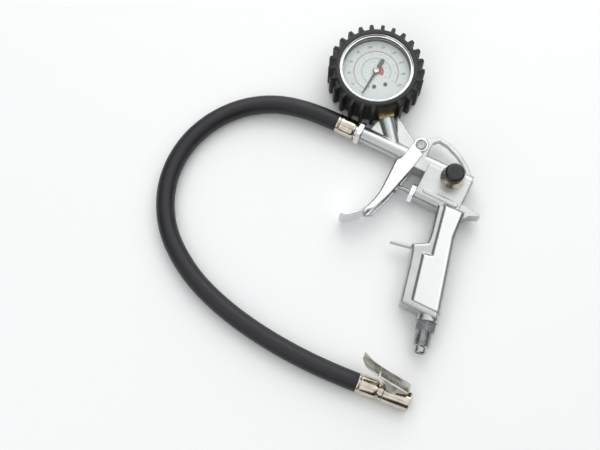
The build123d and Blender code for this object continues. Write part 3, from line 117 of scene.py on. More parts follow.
# hose
HOSE_LOW = 7.6
ROUTE = [(HOSE_FACE, 0, MID_Z), (-105, 0, MID_Z), (-146, -19, 8.2), (-171, -57, HOSE_LOW),
         (-174, -101, HOSE_LOW), (-155, -140, HOSE_LOW), (-121, -165, HOSE_LOW), (-84, -178, HOSE_LOW),
         (-40, -185, HOSE_LOW), (10, -186, 8.1), (38, -183, 8.1)]


def placed(points):
    """Points in the drawing's millimetres, as metres in the frame."""
    return DRAWING_ORIGIN + np.asarray(points, float) * MM


# ------------------------------------------------------------------ axes that pieces are turned about
def axis_frame(at, along, up):
    """Origin (mm) and three unit rows: along the axis, up, and square to both."""
    along = np.asarray(along, float) / np.linalg.norm(along)
    up = np.asarray(up, float) - np.dot(up, along) * along
    up /= np.linalg.norm(up)
    return np.asarray(at, float), along, up, np.cross(along, up)


UP = np.array([0, 0, 1.0])
BARREL_OUT = axis_frame((BARREL_FRONT, 0, MID_Z), (-1, 0, 0), UP)
GUN_FERRULE = axis_frame((HOSE_FACE, 0, MID_Z), (1, 0, 0), UP)
GLAND = axis_frame((HOUSING_FRONT, VALVE_Y, MID_Z), (-1, 0, 0), UP)
PIVOT_AXIS = axis_frame((0, PIVOT_Y, 0), UP, (0, 1, 0))
INLET = axis_frame((*INLET_AT, MID_Z), (math.sin(INLET_RAKE), -math.cos(INLET_RAKE), 0), UP)
CHUCK_DIRECTION = np.subtract(ROUTE[-1], ROUTE[-2])
CHUCK_DIRECTION = CHUCK_DIRECTION / np.linalg.norm(CHUCK_DIRECTION)
SIDEWAYS = np.array([-CHUCK_DIRECTION[1], CHUCK_DIRECTION[0], 0])
CHUCK = axis_frame(ROUTE[-1], CHUCK_DIRECTION, math.cos(CHUCK_ROLL) * SIDEWAYS + math.sin(CHUCK_ROLL) * UP)
DIAL = axis_frame((DIAL_CENTRE[0], DIAL_CENTRE[1], 0), UP,
                  (math.cos(STEM_ANGLE + math.pi), math.sin(STEM_ANGLE + math.pi), 0))


# ------------------------------------------------------------------ surfaces
def mesh_from_grid(name, grid, closed_rows=False, smooth_angle=35.0):
    """Piece whose surface is a (rows, columns) grid of points in metres.

    Columns run round and meet; rows meet too when closed_rows is set, and otherwise the first and last rows
    are poles. Equal points are merged and the faces are turned outwards.
    """
    rows, columns = grid.shape[:2]
    row = np.arange(rows if closed_rows else rows - 1)[:, None]
    column = np.arange(columns)[None, :]
    right, up = (column + 1) % columns, (row + 1) % rows
    corners = (row * columns + column, row * columns + right, up * columns + right, up * columns + column)
    faces = np.stack(corners, axis=-1).reshape(-1, 4)
    mesh = bpy.data.meshes.new(name)
    mesh.from_pydata(grid.reshape(-1, 3), [], faces.tolist())
    shape = bmesh.new()
    shape.from_mesh(mesh)
    bmesh.ops.remove_doubles(shape, verts=shape.verts, dist=1e-7)
    bmesh.ops.dissolve_degenerate(shape, edges=shape.edges, dist=1e-8)
    bmesh.ops.recalc_face_normals(shape, faces=shape.faces)
    shape.to_mesh(mesh)
    shape.free()
    mesh.shade_smooth()
    mesh.set_sharp_from_angle(angle=math.radians(smooth_angle))
    piece = bpy.data.objects.new(name, mesh)
    bpy.context.scene.collection.objects.link(piece)
    return piece


def turned(name, axis, profile, columns=96, radius_of=None, closed=False, smooth_angle=35.0):
    """Turned piece: radius against distance along an axis, carried once round it.

    profile holds (distance, radius) rows in mm; radius_of(distance, radius, angle) may vary the radius round
    the axis, as for flats, threads and knurls.
    """
    profile = np.asarray(profile, float)
    angle = np.linspace(0, 2 * math.pi, columns, endpoint=False)[None, :]
    distance, radius = profile[:, :1], profile[:, 1:2]
    distance, radius = distance + 0 * angle, radius + 0 * angle
    if radius_of:
        radius = radius_of(distance, radius, angle)
    origin, along, up, side = axis
    grid = (origin + distance[..., None] * along + (radius * np.cos(angle))[..., None] * up
            + (radius * np.sin(angle))[..., None] * side)
    return mesh_from_grid(name, placed(grid), closed_rows=closed, smooth_angle=smooth_angle)


def rounded(points, radius, steps=5):
    """Profile with each inner corner replaced by a quadratic curve that starts and ends radius from it."""
    points = np.asarray(points, float)
    out = [points[:1]]
    t = np.linspace(0, 1, steps)[:, None]
    for before, corner, after in zip(points[:-2], points[1:-1], points[2:]):
        arrive, leave = before - corner, after - corner
        reach = [min(radius, 0.45 * np.linalg.norm(run)) for run in (arrive, leave)]
        start = corner + arrive / np.linalg.norm(arrive) * reach[0]
        end = corner + leave / np.linalg.norm(leave) * reach[1]
        out.append((1 - t) ** 2 * start + 2 * t * (1 - t) * corner + t ** 2 * end)
    out.append(points[-1:])
    return np.vstack(out)


def hexagon(flats, reach, turn=0.0):
    """Radius rule for a hexagon up to a distance along: the lesser of the profile's radius and the flat's.

    The flat stands at flats / 2 over the cosine of the angle from its middle; turn brings a corner round.
    """
    def rule(distance, radius, angle):
        flat = flats / 2 / np.cos((angle + turn) % (math.pi / 3) - math.pi / 6)
        return np.where(distance <= reach, np.minimum(radius, flat), radius)
    return rule


def strip(name, axis, stations, sections, smooth_angle=40.0):
    """Bent strip: one closed section, (across, drop) in mm, for each (along, out) station of a path.

    axis gives the origin and the along, out and across directions; drop is measured square to the path.
    The first and last sections close to their middles.
    """
    origin, along, out, across = axis
    stations = np.asarray(stations, float)
    run = np.gradient(stations, axis=0)
    run /= np.linalg.norm(run, axis=1)[:, None]
    square = np.stack([run[:, 1], -run[:, 0]], 1)
    place = stations[:, None, :] + sections[..., 1:2] * square[:, None, :]
    grid = origin + place[..., :1] * along + place[..., 1:] * out + sections[..., :1] * across
    middles = grid.mean(axis=1, keepdims=True) + 0 * grid
    closed = np.vstack([middles[:1], grid, middles[-1:]])
    return mesh_from_grid(name, placed(closed), smooth_angle=smooth_angle)


def along_path(points, steps):
    """Points evenly spaced along a path of straight runs whose corners are rounded first."""
    path = rounded(points, radius=3.0, steps=7)
    length = np.concatenate([[0], np.cumsum(np.linalg.norm(np.diff(path, axis=0), axis=1))])
    even = np.linspace(0, length[-1], steps)
    return np.stack([np.interp(even, length, path[:, column]) for column in (0, 1)], 1)


def band(inner, outer, start, end, steps):
    """Flat band on the dial: its section's four corners carried round from start to end, its ends closed.

    Returns points (mm) and faces; start and end are angles from the dial's top.
    """
    angle = np.linspace(start, end, steps)[:, None]
    radius = np.array([inner, outer, outer, inner])[None, :]
    height = np.array([0, 0, INK_THICK, INK_THICK])[None, :] + 0 * angle
    grid = dial_points(radius, angle, DIAL_TOP + height).reshape(-1, 3)
    station = np.arange(steps - 1)[:, None] * 4
    corner = np.arange(4)[None, :]
    after = (corner + 1) % 4
    sides = np.stack([station + corner, station + after, station + 4 + after, station + 4 + corner], -1)
    last = 4 * (steps - 1)
    return grid, sides.reshape(-1, 4).tolist() + [[3, 2, 1, 0], [last, last + 1, last + 2, last + 3]]


def dial_points(radius, angle, height):
    """Points (mm) at a radius, an angle from the dial's top and a height above the table."""
    origin, along, up, side = DIAL
    flat = (radius * np.cos(angle))[..., None] * up + (radius * np.sin(angle))[..., None] * side
    return origin + flat + height[..., None] * along


def printed(name, bands):
    """One piece made of many closed bands."""
    points, faces, count = [], [], 0
    for band_points, band_faces in bands:
        points.append(band_points)
        faces.extend([[corner + count for corner in face] for face in band_faces])
        count += len(band_points)
    mesh = bpy.data.meshes.new(name)
    mesh.from_pydata(placed(np.vstack(points)), [], faces)
    return finished(name, mesh)


def lettered(name, rows):
    """One piece of numbers: each text is made a mesh, then its points are placed on the dial."""
    shape = bmesh.new()
    origin, along, up, side = DIAL
    for text, radius, tall, angle in rows:
        letters = bpy.data.curves.new(name, "FONT")
        letters.body, letters.size, letters.extrude = text, tall, INK_THICK / 2
        letters.align_x, letters.align_y, letters.resolution_u = "CENTER", "CENTER", 3
        maker = bpy.data.objects.new(name, letters)
        flat = bpy.data.meshes.new_from_object(maker)
        points = np.empty(3 * len(flat.vertices))
        flat.vertices.foreach_get("co", points)
        points = points.reshape(-1, 3)
        middle = origin + radius * (math.cos(angle) * up + math.sin(angle) * side)
        height = DIAL_TOP + INK_THICK / 2 + points[:, 2:]
        place = middle - points[:, :1] * side + points[:, 1:2] * up + height * along
        flat.vertices.foreach_set("co", placed(place).ravel())
        shape.from_mesh(flat)
        bpy.data.objects.remove(maker)
        bpy.data.curves.remove(letters)
        bpy.data.meshes.remove(flat)
    mesh = bpy.data.meshes.new(name)
    shape.to_mesh(mesh)
    shape.free()
    return finished(name, mesh)


def finished(name, mesh):
    """Object for a mesh already in its place, its doubles merged and its faces turned outwards."""
    shape = bmesh.new()
    shape.from_mesh(mesh)
    bmesh.ops.remove_doubles(shape, verts=shape.verts, dist=1e-8)
    bmesh.ops.recalc_face_normals(shape, faces=shape.faces)
    shape.to_mesh(mesh)
    shape.free()
    piece = bpy.data.objects.new(name, mesh)
    bpy.context.scene.collection.objects.link(piece)
    return piece


# ------------------------------------------------------------------ shader groups
def group_with(name, inputs, outputs):
    """Empty shader node group with named sockets, and its end nodes."""
    group = bpy.data.node_groups.new(name, "ShaderNodeTree")
    for label, kind, value in inputs:
        socket = group.interface.new_socket(label, in_out="INPUT", socket_type=kind)
        socket.default_value = value
    for label, kind in outputs:
        group.interface.new_socket(label, in_out="OUTPUT", socket_type=kind)
    return group, group.nodes.new("NodeGroupInput"), group.nodes.new("NodeGroupOutput")


def math_node(tree, operation, *values, clamp=False):
    """Math node whose inputs are sockets or numbers."""
    node = tree.nodes.new("ShaderNodeMath")
    node.operation = operation
    node.use_clamp = clamp
    for socket, value in zip(node.inputs, values):
        if isinstance(value, bpy.types.NodeSocket):
            tree.links.new(value, socket)
        else:
            socket.default_value = value
    return node.outputs[0]


def edge_group():
    """Rounded normal and wear mask along sharp edges: where the rounded normal leaves the true one."""
    group, start, end = group_with(
        "rounded_edges", [("Radius", "NodeSocketFloat", 0.0006), ("Sharpness", "NodeSocketFloat", 5.0)],
        [("Normal", "NodeSocketVector"), ("Wear", "NodeSocketFloat")])
    bevel = group.nodes.new("ShaderNodeBevel")
    bevel.samples = 6
    group.links.new(start.outputs["Radius"], bevel.inputs["Radius"])
    geometry = group.nodes.new("ShaderNodeNewGeometry")
    dot = group.nodes.new("ShaderNodeVectorMath")
    dot.operation = "DOT_PRODUCT"
    group.links.new(bevel.outputs[0], dot.inputs[0])
    group.links.new(geometry.outputs["Normal"], dot.inputs[1])
    away = math_node(group, "SUBTRACT", 1.0, dot.outputs["Value"])
    wear = math_node(group, "MULTIPLY", away, start.outputs["Sharpness"], clamp=True)
    group.links.new(bevel.outputs[0], end.inputs["Normal"])
    group.links.new(wear, end.inputs["Wear"])
    return group


def grain_group():
    """Fine grain and broad smudges from two noises, each about 0 to 1, on a piece's own coordinates."""
    group, start, end = group_with(
        "grain", [("Fine Scale", "NodeSocketFloat", 900.0), ("Broad Scale", "NodeSocketFloat", 40.0)],
        [("Fine", "NodeSocketFloat"), ("Broad", "NodeSocketFloat")])
    place = group.nodes.new("ShaderNodeTexCoord")
    for label, scale, detail in (("Fine", "Fine Scale", 3.0), ("Broad", "Broad Scale", 4.0)):
        noise = group.nodes.new("ShaderNodeTexNoise")
        noise.inputs["Detail"].default_value = detail
        group.links.new(place.outputs["Object"], noise.inputs["Vector"])
        group.links.new(start.outputs[scale], noise.inputs["Scale"])
        group.links.new(noise.outputs["Fac"], end.inputs[label])
    return group


GROUPS = {}


def finish_material(name, colour, dark=None, metallic=0.0, rough=(0.3, 0.45), fine=900.0, broad=40.0, bump=0.02,
                    bump_distance=0.0001, edge=0.0004, wear=(1.0, 1.0, 1.0), wear_amount=0.0):
    """Surface finish: colour patched by broad smudges, grain in roughness and bump, rounded and worn edges."""
    material = bpy.data.materials.new(name)
    material.use_nodes = True
    tree = material.node_tree
    shader = tree.nodes["Principled BSDF"]
    shader.inputs["Metallic"].default_value = metallic
    grain = tree.nodes.new("ShaderNodeGroup")
    grain.node_tree = GROUPS["grain"]
    grain.inputs["Fine Scale"].default_value = fine
    grain.inputs["Broad Scale"].default_value = broad
    patches = tree.nodes.new("ShaderNodeMix")
    patches.data_type = "RGBA"
    patches.inputs["A"].default_value = (*(dark or [c * 0.82 for c in colour]), 1)
    patches.inputs["B"].default_value = (*colour, 1)
    spread = tree.nodes.new("ShaderNodeMapRange")
    spread.inputs["From Min"].default_value = 0.35
    spread.inputs["From Max"].default_value = 0.62
    tree.links.new(grain.outputs["Broad"], spread.inputs["Value"])
    tree.links.new(spread.outputs[0], patches.inputs["Factor"])
    colour_out = patches.outputs["Result"]
    edges = tree.nodes.new("ShaderNodeGroup")
    edges.node_tree = GROUPS["edges"]
    edges.inputs["Radius"].default_value = edge
    if wear_amount:
        worn = tree.nodes.new("ShaderNodeMix")
        worn.data_type = "RGBA"
        worn.inputs["B"].default_value = (*wear, 1)
        amount = math_node(tree, "MULTIPLY", edges.outputs["Wear"], wear_amount, clamp=True)
        tree.links.new(amount, worn.inputs["Factor"])
        tree.links.new(colour_out, worn.inputs["A"])
        colour_out = worn.outputs["Result"]
    tree.links.new(colour_out, shader.inputs["Base Color"])
    mixed = math_node(tree, "ADD", math_node(tree, "MULTIPLY", grain.outputs["Fine"], 0.4),
                      math_node(tree, "MULTIPLY", grain.outputs["Broad"], 0.6))
    roughness = tree.nodes.new("ShaderNodeMapRange")
    roughness.inputs["From Min"].default_value = 0.35
    roughness.inputs["From Max"].default_value = 0.65
    roughness.inputs["To Min"].default_value = rough[0]
    roughness.inputs["To Max"].default_value = rough[1]
    tree.links.new(mixed, roughness.inputs["Value"])
    tree.links.new(roughness.outputs[0], shader.inputs["Roughness"])
    relief = tree.nodes.new("ShaderNodeBump")
    relief.inputs["Strength"].default_value = bump
    relief.inputs["Distance"].default_value = bump_distance
    tree.links.new(grain.outputs["Fine"], relief.inputs["Height"])
    tree.links.new(edges.outputs["Normal"], relief.inputs["Normal"])
    tree.links.new(relief.outputs[0], shader.inputs["Normal"])
    return material


def polish_above(material, height, colour):
    """Give a finish a lighter colour where it stands above a height (m)."""
    tree = material.node_tree
    shader = tree.nodes["Principled BSDF"]
    place = tree.nodes.new("ShaderNodeTexCoord")
    split = tree.nodes.new("ShaderNodeSeparateXYZ")
    tree.links.new(place.outputs["Object"], split.inputs[0])
    raised = tree.nodes.new("ShaderNodeMapRange")
    raised.inputs["From Min"].default_value = height - 0.0005
    raised.inputs["From Max"].default_value = height - 0.0001
    tree.links.new(split.outputs["Z"], raised.inputs["Value"])
    raised_tone = tree.nodes.new("ShaderNodeMix")
    raised_tone.data_type = "RGBA"
    raised_tone.inputs["B"].default_value = (*colour, 1)
    before = shader.inputs["Base Color"].links[0].from_socket
    tree.links.new(raised.outputs[0], raised_tone.inputs["Factor"])
    tree.links.new(before, raised_tone.inputs["A"])
    tree.links.new(raised_tone.outputs["Result"], shader.inputs["Base Color"])


MATERIALS = {}


def lens_material():
    """Clear lens that lets the dial show and reflects a little."""
    material = bpy.data.materials.new("clear_lens")
    material.use_nodes = True
    tree = material.node_tree
    shader = tree.nodes["Principled BSDF"]
    shader.inputs["Base Color"].default_value = (0.97, 0.99, 0.99, 1)
    shader.inputs["Roughness"].default_value = 0.03
    shader.inputs["IOR"].default_value = 1.45
    shader.inputs["Alpha"].default_value = 0.06
    return material


def make_materials():
    """Build the two shared groups and every finish."""
    GROUPS["edges"], GROUPS["grain"] = edge_group(), grain_group()
    make = finish_material
    MATERIALS.update(
        casting=make("cast_aluminium", (0.53, 0.545, 0.54), (0.47, 0.485, 0.48), 1.0, (0.25, 0.36), 1400, 60, 0.10,
                     0.0002, 0.0013, (0.72, 0.73, 0.72), 0.3),
        trigger=make("trigger_chrome", (0.88, 0.89, 0.90), (0.82, 0.83, 0.84), 1.0, (0.10, 0.18), 1200, 90, 0.03,
                     0.0001, 0.0022),
        thread_steel=make("bright_steel", (0.52, 0.53, 0.53), (0.36, 0.37, 0.37), 1.0, (0.20, 0.34), 1500, 150, 0.06,
                          0.0001, 0.0002),
        chrome=make("bright_chrome", (0.88, 0.89, 0.90), (0.80, 0.81, 0.82), 1.0, (0.05, 0.12), 1200, 90, 0.02,
                    0.0001, 0.0005),
        zinc=make("bright_zinc", (0.78, 0.78, 0.77), (0.62, 0.62, 0.61), 1.0, (0.10, 0.22), 1500, 120, 0.05,
                  0.0001, 0.0003),
        steel=make("turned_steel", (0.42, 0.42, 0.42), (0.28, 0.28, 0.28), 1.0, (0.18, 0.36), 1600, 150, 0.10,
                   0.0001, 0.0003, (0.7, 0.7, 0.7), 0.4),
        brass=make("pale_brass", (0.62, 0.49, 0.26), (0.44, 0.33, 0.15), 1.0, (0.18, 0.32), 1400, 110, 0.06,
                   0.0001, 0.0004, (0.80, 0.70, 0.45), 0.4),
        nickel=make("nickel_on_brass", (0.67, 0.62, 0.53), (0.50, 0.45, 0.37), 1.0, (0.06, 0.16), 1300, 130, 0.04,
                    0.0001, 0.0004),
        lever=make("worn_zinc_lever", (0.66, 0.63, 0.57), (0.54, 0.51, 0.45), 1.0, (0.20, 0.34), 1300, 120, 0.06,
                   0.0001, 0.0005, (0.80, 0.79, 0.76), 0.5),
        boot=make("moulded_rubber", (0.016, 0.016, 0.017), (0.009, 0.009, 0.010), 0.0, (0.42, 0.58), 2200, 120, 0.25,
                  0.0002, 0.0008, (0.04, 0.04, 0.04), 0.5),
        hose=make("hose_rubber", (0.011, 0.011, 0.014), (0.007, 0.007, 0.009), 0.0, (0.40, 0.54), 1800, 90, 0.2,
                  0.0002, 0.0002),
        seal=make("nitrile_rubber", (0.03, 0.028, 0.027), None, 0.0, (0.5, 0.65), 1800, 90, 0.1),
        plastic=make("black_plastic", (0.012, 0.012, 0.013), (0.008, 0.008, 0.009), 0.0, (0.22, 0.34), 2000, 100,
                     0.08, 0.0001, 0.0005),
        dial=make("white_enamel", (0.68, 0.73, 0.71), (0.64, 0.69, 0.67), 0.0, (0.35, 0.5), 900, 40, 0.02, 0.0001,
                  0.0002),
        ink=make("black_ink", (0.03, 0.03, 0.033), None, 0.0, (0.5, 0.6), 900, 40, 0.02, 0.00001, 0.0001),
        red_ink=make("red_ink", (0.45, 0.09, 0.10), None, 0.0, (0.5, 0.6), 900, 40, 0.02, 0.00001, 0.0001),
        teal_ink=make("teal_ink", (0.30, 0.50, 0.48), None, 0.0, (0.5, 0.6), 900, 40, 0.02, 0.00001, 0.0001),
        needle=make("needle_paint", (0.03, 0.033, 0.035), None, 0.0, (0.3, 0.45), 900, 60, 0.03, 0.0001, 0.0002),
        lens=lens_material(),
    )
    # lighter colour on the casting where it stands above the panel's top
    polish_above(MATERIALS["casting"], PANEL_TOP * MM, (0.70, 0.71, 0.705))


def paint(piece, key):
    """Give a piece one finish."""
    piece.data.materials.clear()
    piece.data.materials.append(MATERIALS[key])
    return piece


def paint_nodes(key, *names):
    """Give frame nodes one finish."""
    for name in names:
        paint(NODES[name], key)


def fit(piece, body, slot, key, *replaced):
    """Finish a new piece, join it to its body and let it stand for the nodes that it replaces."""
    paint(piece, key)
    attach(piece, body)
    if replaced:
        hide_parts(*replaced)
    return piece


# ------------------------------------------------------------------ settings
class InflatorSettings(bpy.types.PropertyGroup):
    """Sizes that a user would change."""

    hose_diameter: bpy.props.FloatProperty(
        name="Hose diameter", description="Outside diameter of the rubber hose",
        default=0.015, unit="LENGTH", min=0.008, max=0.02)
    fin_count: bpy.props.IntProperty(
        name="Boot fins", description="Fins round the rubber boot", default=24, min=6, max=40)
    fin_step: bpy.props.FloatProperty(
        name="Fin spacing", description="Angle from one fin to the next",
        default=math.radians(14.1), subtype="ANGLE", unit="ROTATION")
    fin_height: bpy.props.FloatProperty(
        name="Fin height", description="How far the fins stand out of the boot",
        default=0.0043, unit="LENGTH", min=0.0, max=0.006)
    dial_divisions: bpy.props.IntProperty(
        name="Dial divisions", description="Numbered steps round the dial", default=10, min=4, max=20)
    thread_pitch: bpy.props.FloatProperty(
        name="Inlet thread pitch", description="Distance between thread crests",
        default=0.001337, unit="LENGTH", min=0.0005, max=0.003)
    floor_tone: bpy.props.FloatVectorProperty(
        name="Floor", description="Colour of the surface it lies on",
        default=(0.97, 0.97, 0.97), subtype="COLOR", size=3, min=0, max=1)


# ------------------------------------------------------------------ operators
LOOK_AT = (-59.1, -89.0, 0)     # mm
CAMERA_TURN, CAMERA_RISE = math.radians(27), math.radians(73.5)
CAMERA_AWAY, CAMERA_LENS = 0.8071, 60.0
FLOOR_HALF = 2.5
# Lamp name, place from the look point (m), size (m) and power (W).
LAMPS = (("key", (-0.35, 1.05, 0.75), 1.4, 9.0), ("fill", (0.9, 0.5, 1.1), 1.2, 3.0),
         ("edge", (-0.3, -1.0, 0.8), 1.2, 4.5))
SKY_BRIGHTEST = Vector((-0.10, 0.27, 0.96)).normalized()
SKY_STRENGTH = 1.2
# Cosine of the angle from the brightest direction, and tone.
SKY_STOPS = ((0.0, 0.05), (0.35, 0.08), (0.62, 0.26), (0.86, 0.86), (1.0, 1.0))


class INFLATOR_OT_stage(bpy.types.Operator):
    """Lay the pale floor, soft lights and camera."""

    bl_idname = "inflator.stage"
    bl_label = "Stage"

    def execute(self, context):
        scene = context.scene
        scene.view_settings.view_transform = "Standard"
        floor_mesh = bpy.data.meshes.new("floor")
        low, high = -FLOOR_HALF, FLOOR_HALF
        floor_mesh.from_pydata([(low, low, 0), (high, low, 0), (high, high, 0), (low, high, 0)], [], [(0, 1, 2, 3)])
        floor = bpy.data.objects.new("floor", floor_mesh)
        scene.collection.objects.link(floor)
        surface = bpy.data.materials.new("pale_floor")
        surface.use_nodes = True
        shader = surface.node_tree.nodes["Principled BSDF"]
        shader.inputs["Base Color"].default_value = (*scene.inflator.floor_tone, 1)
        shader.inputs["Roughness"].default_value = 0.9
        floor.data.materials.append(surface)
        self.light_world(scene)
        look = Vector(placed(LOOK_AT))
        for name, offset, size, power in LAMPS:
            light = bpy.data.lights.new(name, "AREA")
            light.size = size
            light.energy = power
            lamp = bpy.data.objects.new(name, light)
            lamp.location = look + Vector(offset)
            lamp.rotation_euler = (-Vector(offset)).to_track_quat("-Z", "Y").to_euler()
            scene.collection.objects.link(lamp)
        camera = bpy.data.cameras.new("camera")
        camera.lens = CAMERA_LENS
        camera.sensor_width = 36.0
        camera.clip_start = 0.01
        eye = bpy.data.objects.new("camera", camera)
        forward = Vector((-math.sin(CAMERA_TURN), math.cos(CAMERA_TURN), 0))
        height = Vector((0, 0, CAMERA_AWAY * math.sin(CAMERA_RISE)))
        eye.location = look - forward * CAMERA_AWAY * math.cos(CAMERA_RISE) + height
        eye.rotation_euler = (look - eye.location).to_track_quat("-Z", "Y").to_euler()
        scene.collection.objects.link(eye)
        scene.camera = eye
        return {"FINISHED"}

    @staticmethod
    def light_world(scene):
        """Sky that is brightest just up the gun from overhead, and dark round the horizon."""
        world = bpy.data.worlds.new("studio")
        world.use_nodes = True
        scene.world = world
        tree = world.node_tree
        place = tree.nodes.new("ShaderNodeTexCoord")
        lean = tree.nodes.new("ShaderNodeVectorMath")
        lean.operation = "DOT_PRODUCT"
        lean.inputs[1].default_value = SKY_BRIGHTEST
        ramp = tree.nodes.new("ShaderNodeValToRGB")
        while len(ramp.color_ramp.elements) < len(SKY_STOPS):
            ramp.color_ramp.elements.new(0.5)
        for element, (position, tone) in zip(ramp.color_ramp.elements, SKY_STOPS):
            element.position = position
            element.color = (tone * (0.90 + 0.09 * tone), tone * (0.96 + 0.04 * tone), tone, 1)
        tree.links.new(place.outputs["Generated"], lean.inputs[0])
        tree.links.new(lean.outputs["Value"], ramp.inputs["Fac"])
        tree.links.new(ramp.outputs["Color"], tree.nodes["Background"].inputs["Color"])
        tree.nodes["Background"].inputs["Strength"].default_value = SKY_STRENGTH


def curved_lever():
    """Pressed lever: a sheet that curls up to a thumb tab, with ears down to its pin and a jaw at its end.

    Each section is the sheet's outer face from edge to edge and its inner face back again. The ears'
    drop rises and falls along the path, and the jaw's width is the sheet's narrowed at the bend.
    """
    path = along_path(LEVER_PATH, 120)
    ahead, up = path[:, 0], path[:, 1]
    jaw = np.clip((1.0 - up) / 0.8, 0, 1) * (ahead > 9.0)
    tab = np.sqrt(np.clip(1 - np.clip((-24.0 - ahead) / 5.6, 0, 1) ** 2, 0.06, 1))
    half = (LEVER_HALF * tab + (JAW_HALF - LEVER_HALF) * jaw)[:, None]
    ear = (np.interp(ahead, EAR_AT, EAR_DROP) * (1 - jaw))[:, None]
    crease = CREASE * np.exp(-((ahead[:, None] - CREASE_AT) / 0.4) ** 2)
    share = np.linspace(-1, 1, 15)[None, :]
    crown = CROWN * (1 - jaw[:, None]) * share ** 2
    plain = np.zeros_like(half)
    edge, inner_edge = LEVER_EDGE + plain, LEVER_SHEET + 0.3 + plain
    inner = half - LEVER_SHEET * (0.2 + 0.8 * np.clip(ear, 0, 1))
    across = [-half, -half, (half - 1.0) * share, half, half,
              inner, inner, (inner - 0.4) * share[:, ::-1], -inner, -inner]
    drop = [LEVER_EDGE + ear, edge, crown + crease, edge, LEVER_EDGE + ear,
            LEVER_SHEET + ear, inner_edge, LEVER_SHEET + crown[:, ::-1], inner_edge, LEVER_SHEET + ear]
    sections = np.stack([np.concatenate(across, 1), np.concatenate(drop, 1)], -1)
    origin, along, out, side = CHUCK
    pivot = origin + LEVER_PIVOT[0] * along + LEVER_PIVOT[1] * out
    lever = strip("curved_lever", (pivot, along, out, side), path, sections)
    return fit(lever, "clip_lever", "lever_steel", "lever", "chuck_lever")


class INFLATOR_OT_hose(bpy.types.Operator):
    """Lay the rubber hose along its route with the pieces that move with it, and turn its hexagon fitting."""

    bl_idname = "inflator.hose"
    bl_label = "Hose"

    def execute(self, context):
        diameter = context.scene.inflator.hose_diameter
        route = placed(ROUTE)
        curve = bpy.data.curves.new("hose", "CURVE")
        curve.dimensions = "3D"
        curve.bevel_depth = diameter / 2
        curve.bevel_resolution = 12
        curve.resolution_u = 24
        curve.render_resolution_u = 24
        curve.use_fill_caps = True
        spline = curve.splines.new("NURBS")
        spline.points.add(len(route) - 1)
        spline.points.foreach_set("co", np.hstack([route, np.ones((len(route), 1))]).ravel())
        spline.order_u = 3
        spline.use_endpoint_u = True
        hose = bpy.data.objects.new("hose", curve)
        context.scene.collection.objects.link(hose)
        fit(hose, "gun", "hose_rubber", "hose", "hose_tube")
        paint_nodes("hose", "hose_end_gun", "hose_end_chuck")
        ends = (("gun_ferrule", GUN_FERRULE, "hose_ferrule_gun"), ("chuck_ferrule", CHUCK, "hose_ferrule_chuck"))
        ferrules = [fit(self.crimped_ferrule(name, axis), "gun", "zinc_steel", "nickel", node)
                    for name, axis, node in ends]
        lever = curved_lever()
        face, neck, tip = HEX_THICK, HEX_THICK + FITTING_NECK_LONG, HEX_THICK + BARB_LONG
        profile = rounded(
            [(0, 0), (0, 8.9), (0.5, 9.4), (0.6, HEX_CORNER_R), (face - 0.6, HEX_CORNER_R), (face - 0.1, 8.6),
             (face, 8.4), (face, FITTING_NECK_R), (neck, FITTING_NECK_R), (neck, HOSE_BORE_R), (tip, BARB_R),
             (tip, BARB_BORE_R), (face + 2.0, BARB_BORE_R), (face + 2.0, 0)], 0.25, 4)
        fitting = turned("hose_hexagon", BARREL_OUT, profile, 144, hexagon(HEX_FLATS, face, math.pi / 6),
                         smooth_angle=25)
        fit(fitting, "gun", "zinc_steel", "zinc", "hose_fitting")
        return {"FINISHED"}

    @staticmethod
    def crimped_ferrule(name, axis):
        """Rolled sleeve whose radius dips a little along eight crimps and round one bead near its mouth."""
        bead, bore, back = FERRULE_R - BEAD_DEPTH, FERRULE_R - FERRULE_WALL, FERRULE_LONG - FERRULE_WALL
        profile = rounded(
            [(0.0, FERRULE_R - 1.0), (0.0, FERRULE_R), (1.6, FERRULE_R), (2.0, bead), (2.5, bead), (2.9, FERRULE_R),
             (8.0, FERRULE_R), (14.2, FERRULE_R), (FERRULE_LONG, FERRULE_R - 0.6), (FERRULE_LONG, HOSE_BORE_R),
             (back, HOSE_BORE_R), (back, bore), (0.0, bore), (0.0, FERRULE_R - 1.0)], 0.5, 5)

        def crimps(distance, radius, angle):
            middle = np.clip((distance - 3.2) / 1.2, 0, 1) * np.clip((13.6 - distance) / 1.2, 0, 1)
            outer = np.clip((radius - FERRULE_R + 0.6) / 0.4, 0, 1)
            return radius - CRIMP_DEPTH * middle * outer * (0.5 + 0.5 * np.cos(CRIMPS * angle)) ** 3

        return turned(name, axis, profile, 192, crimps, closed=True, smooth_angle=50)


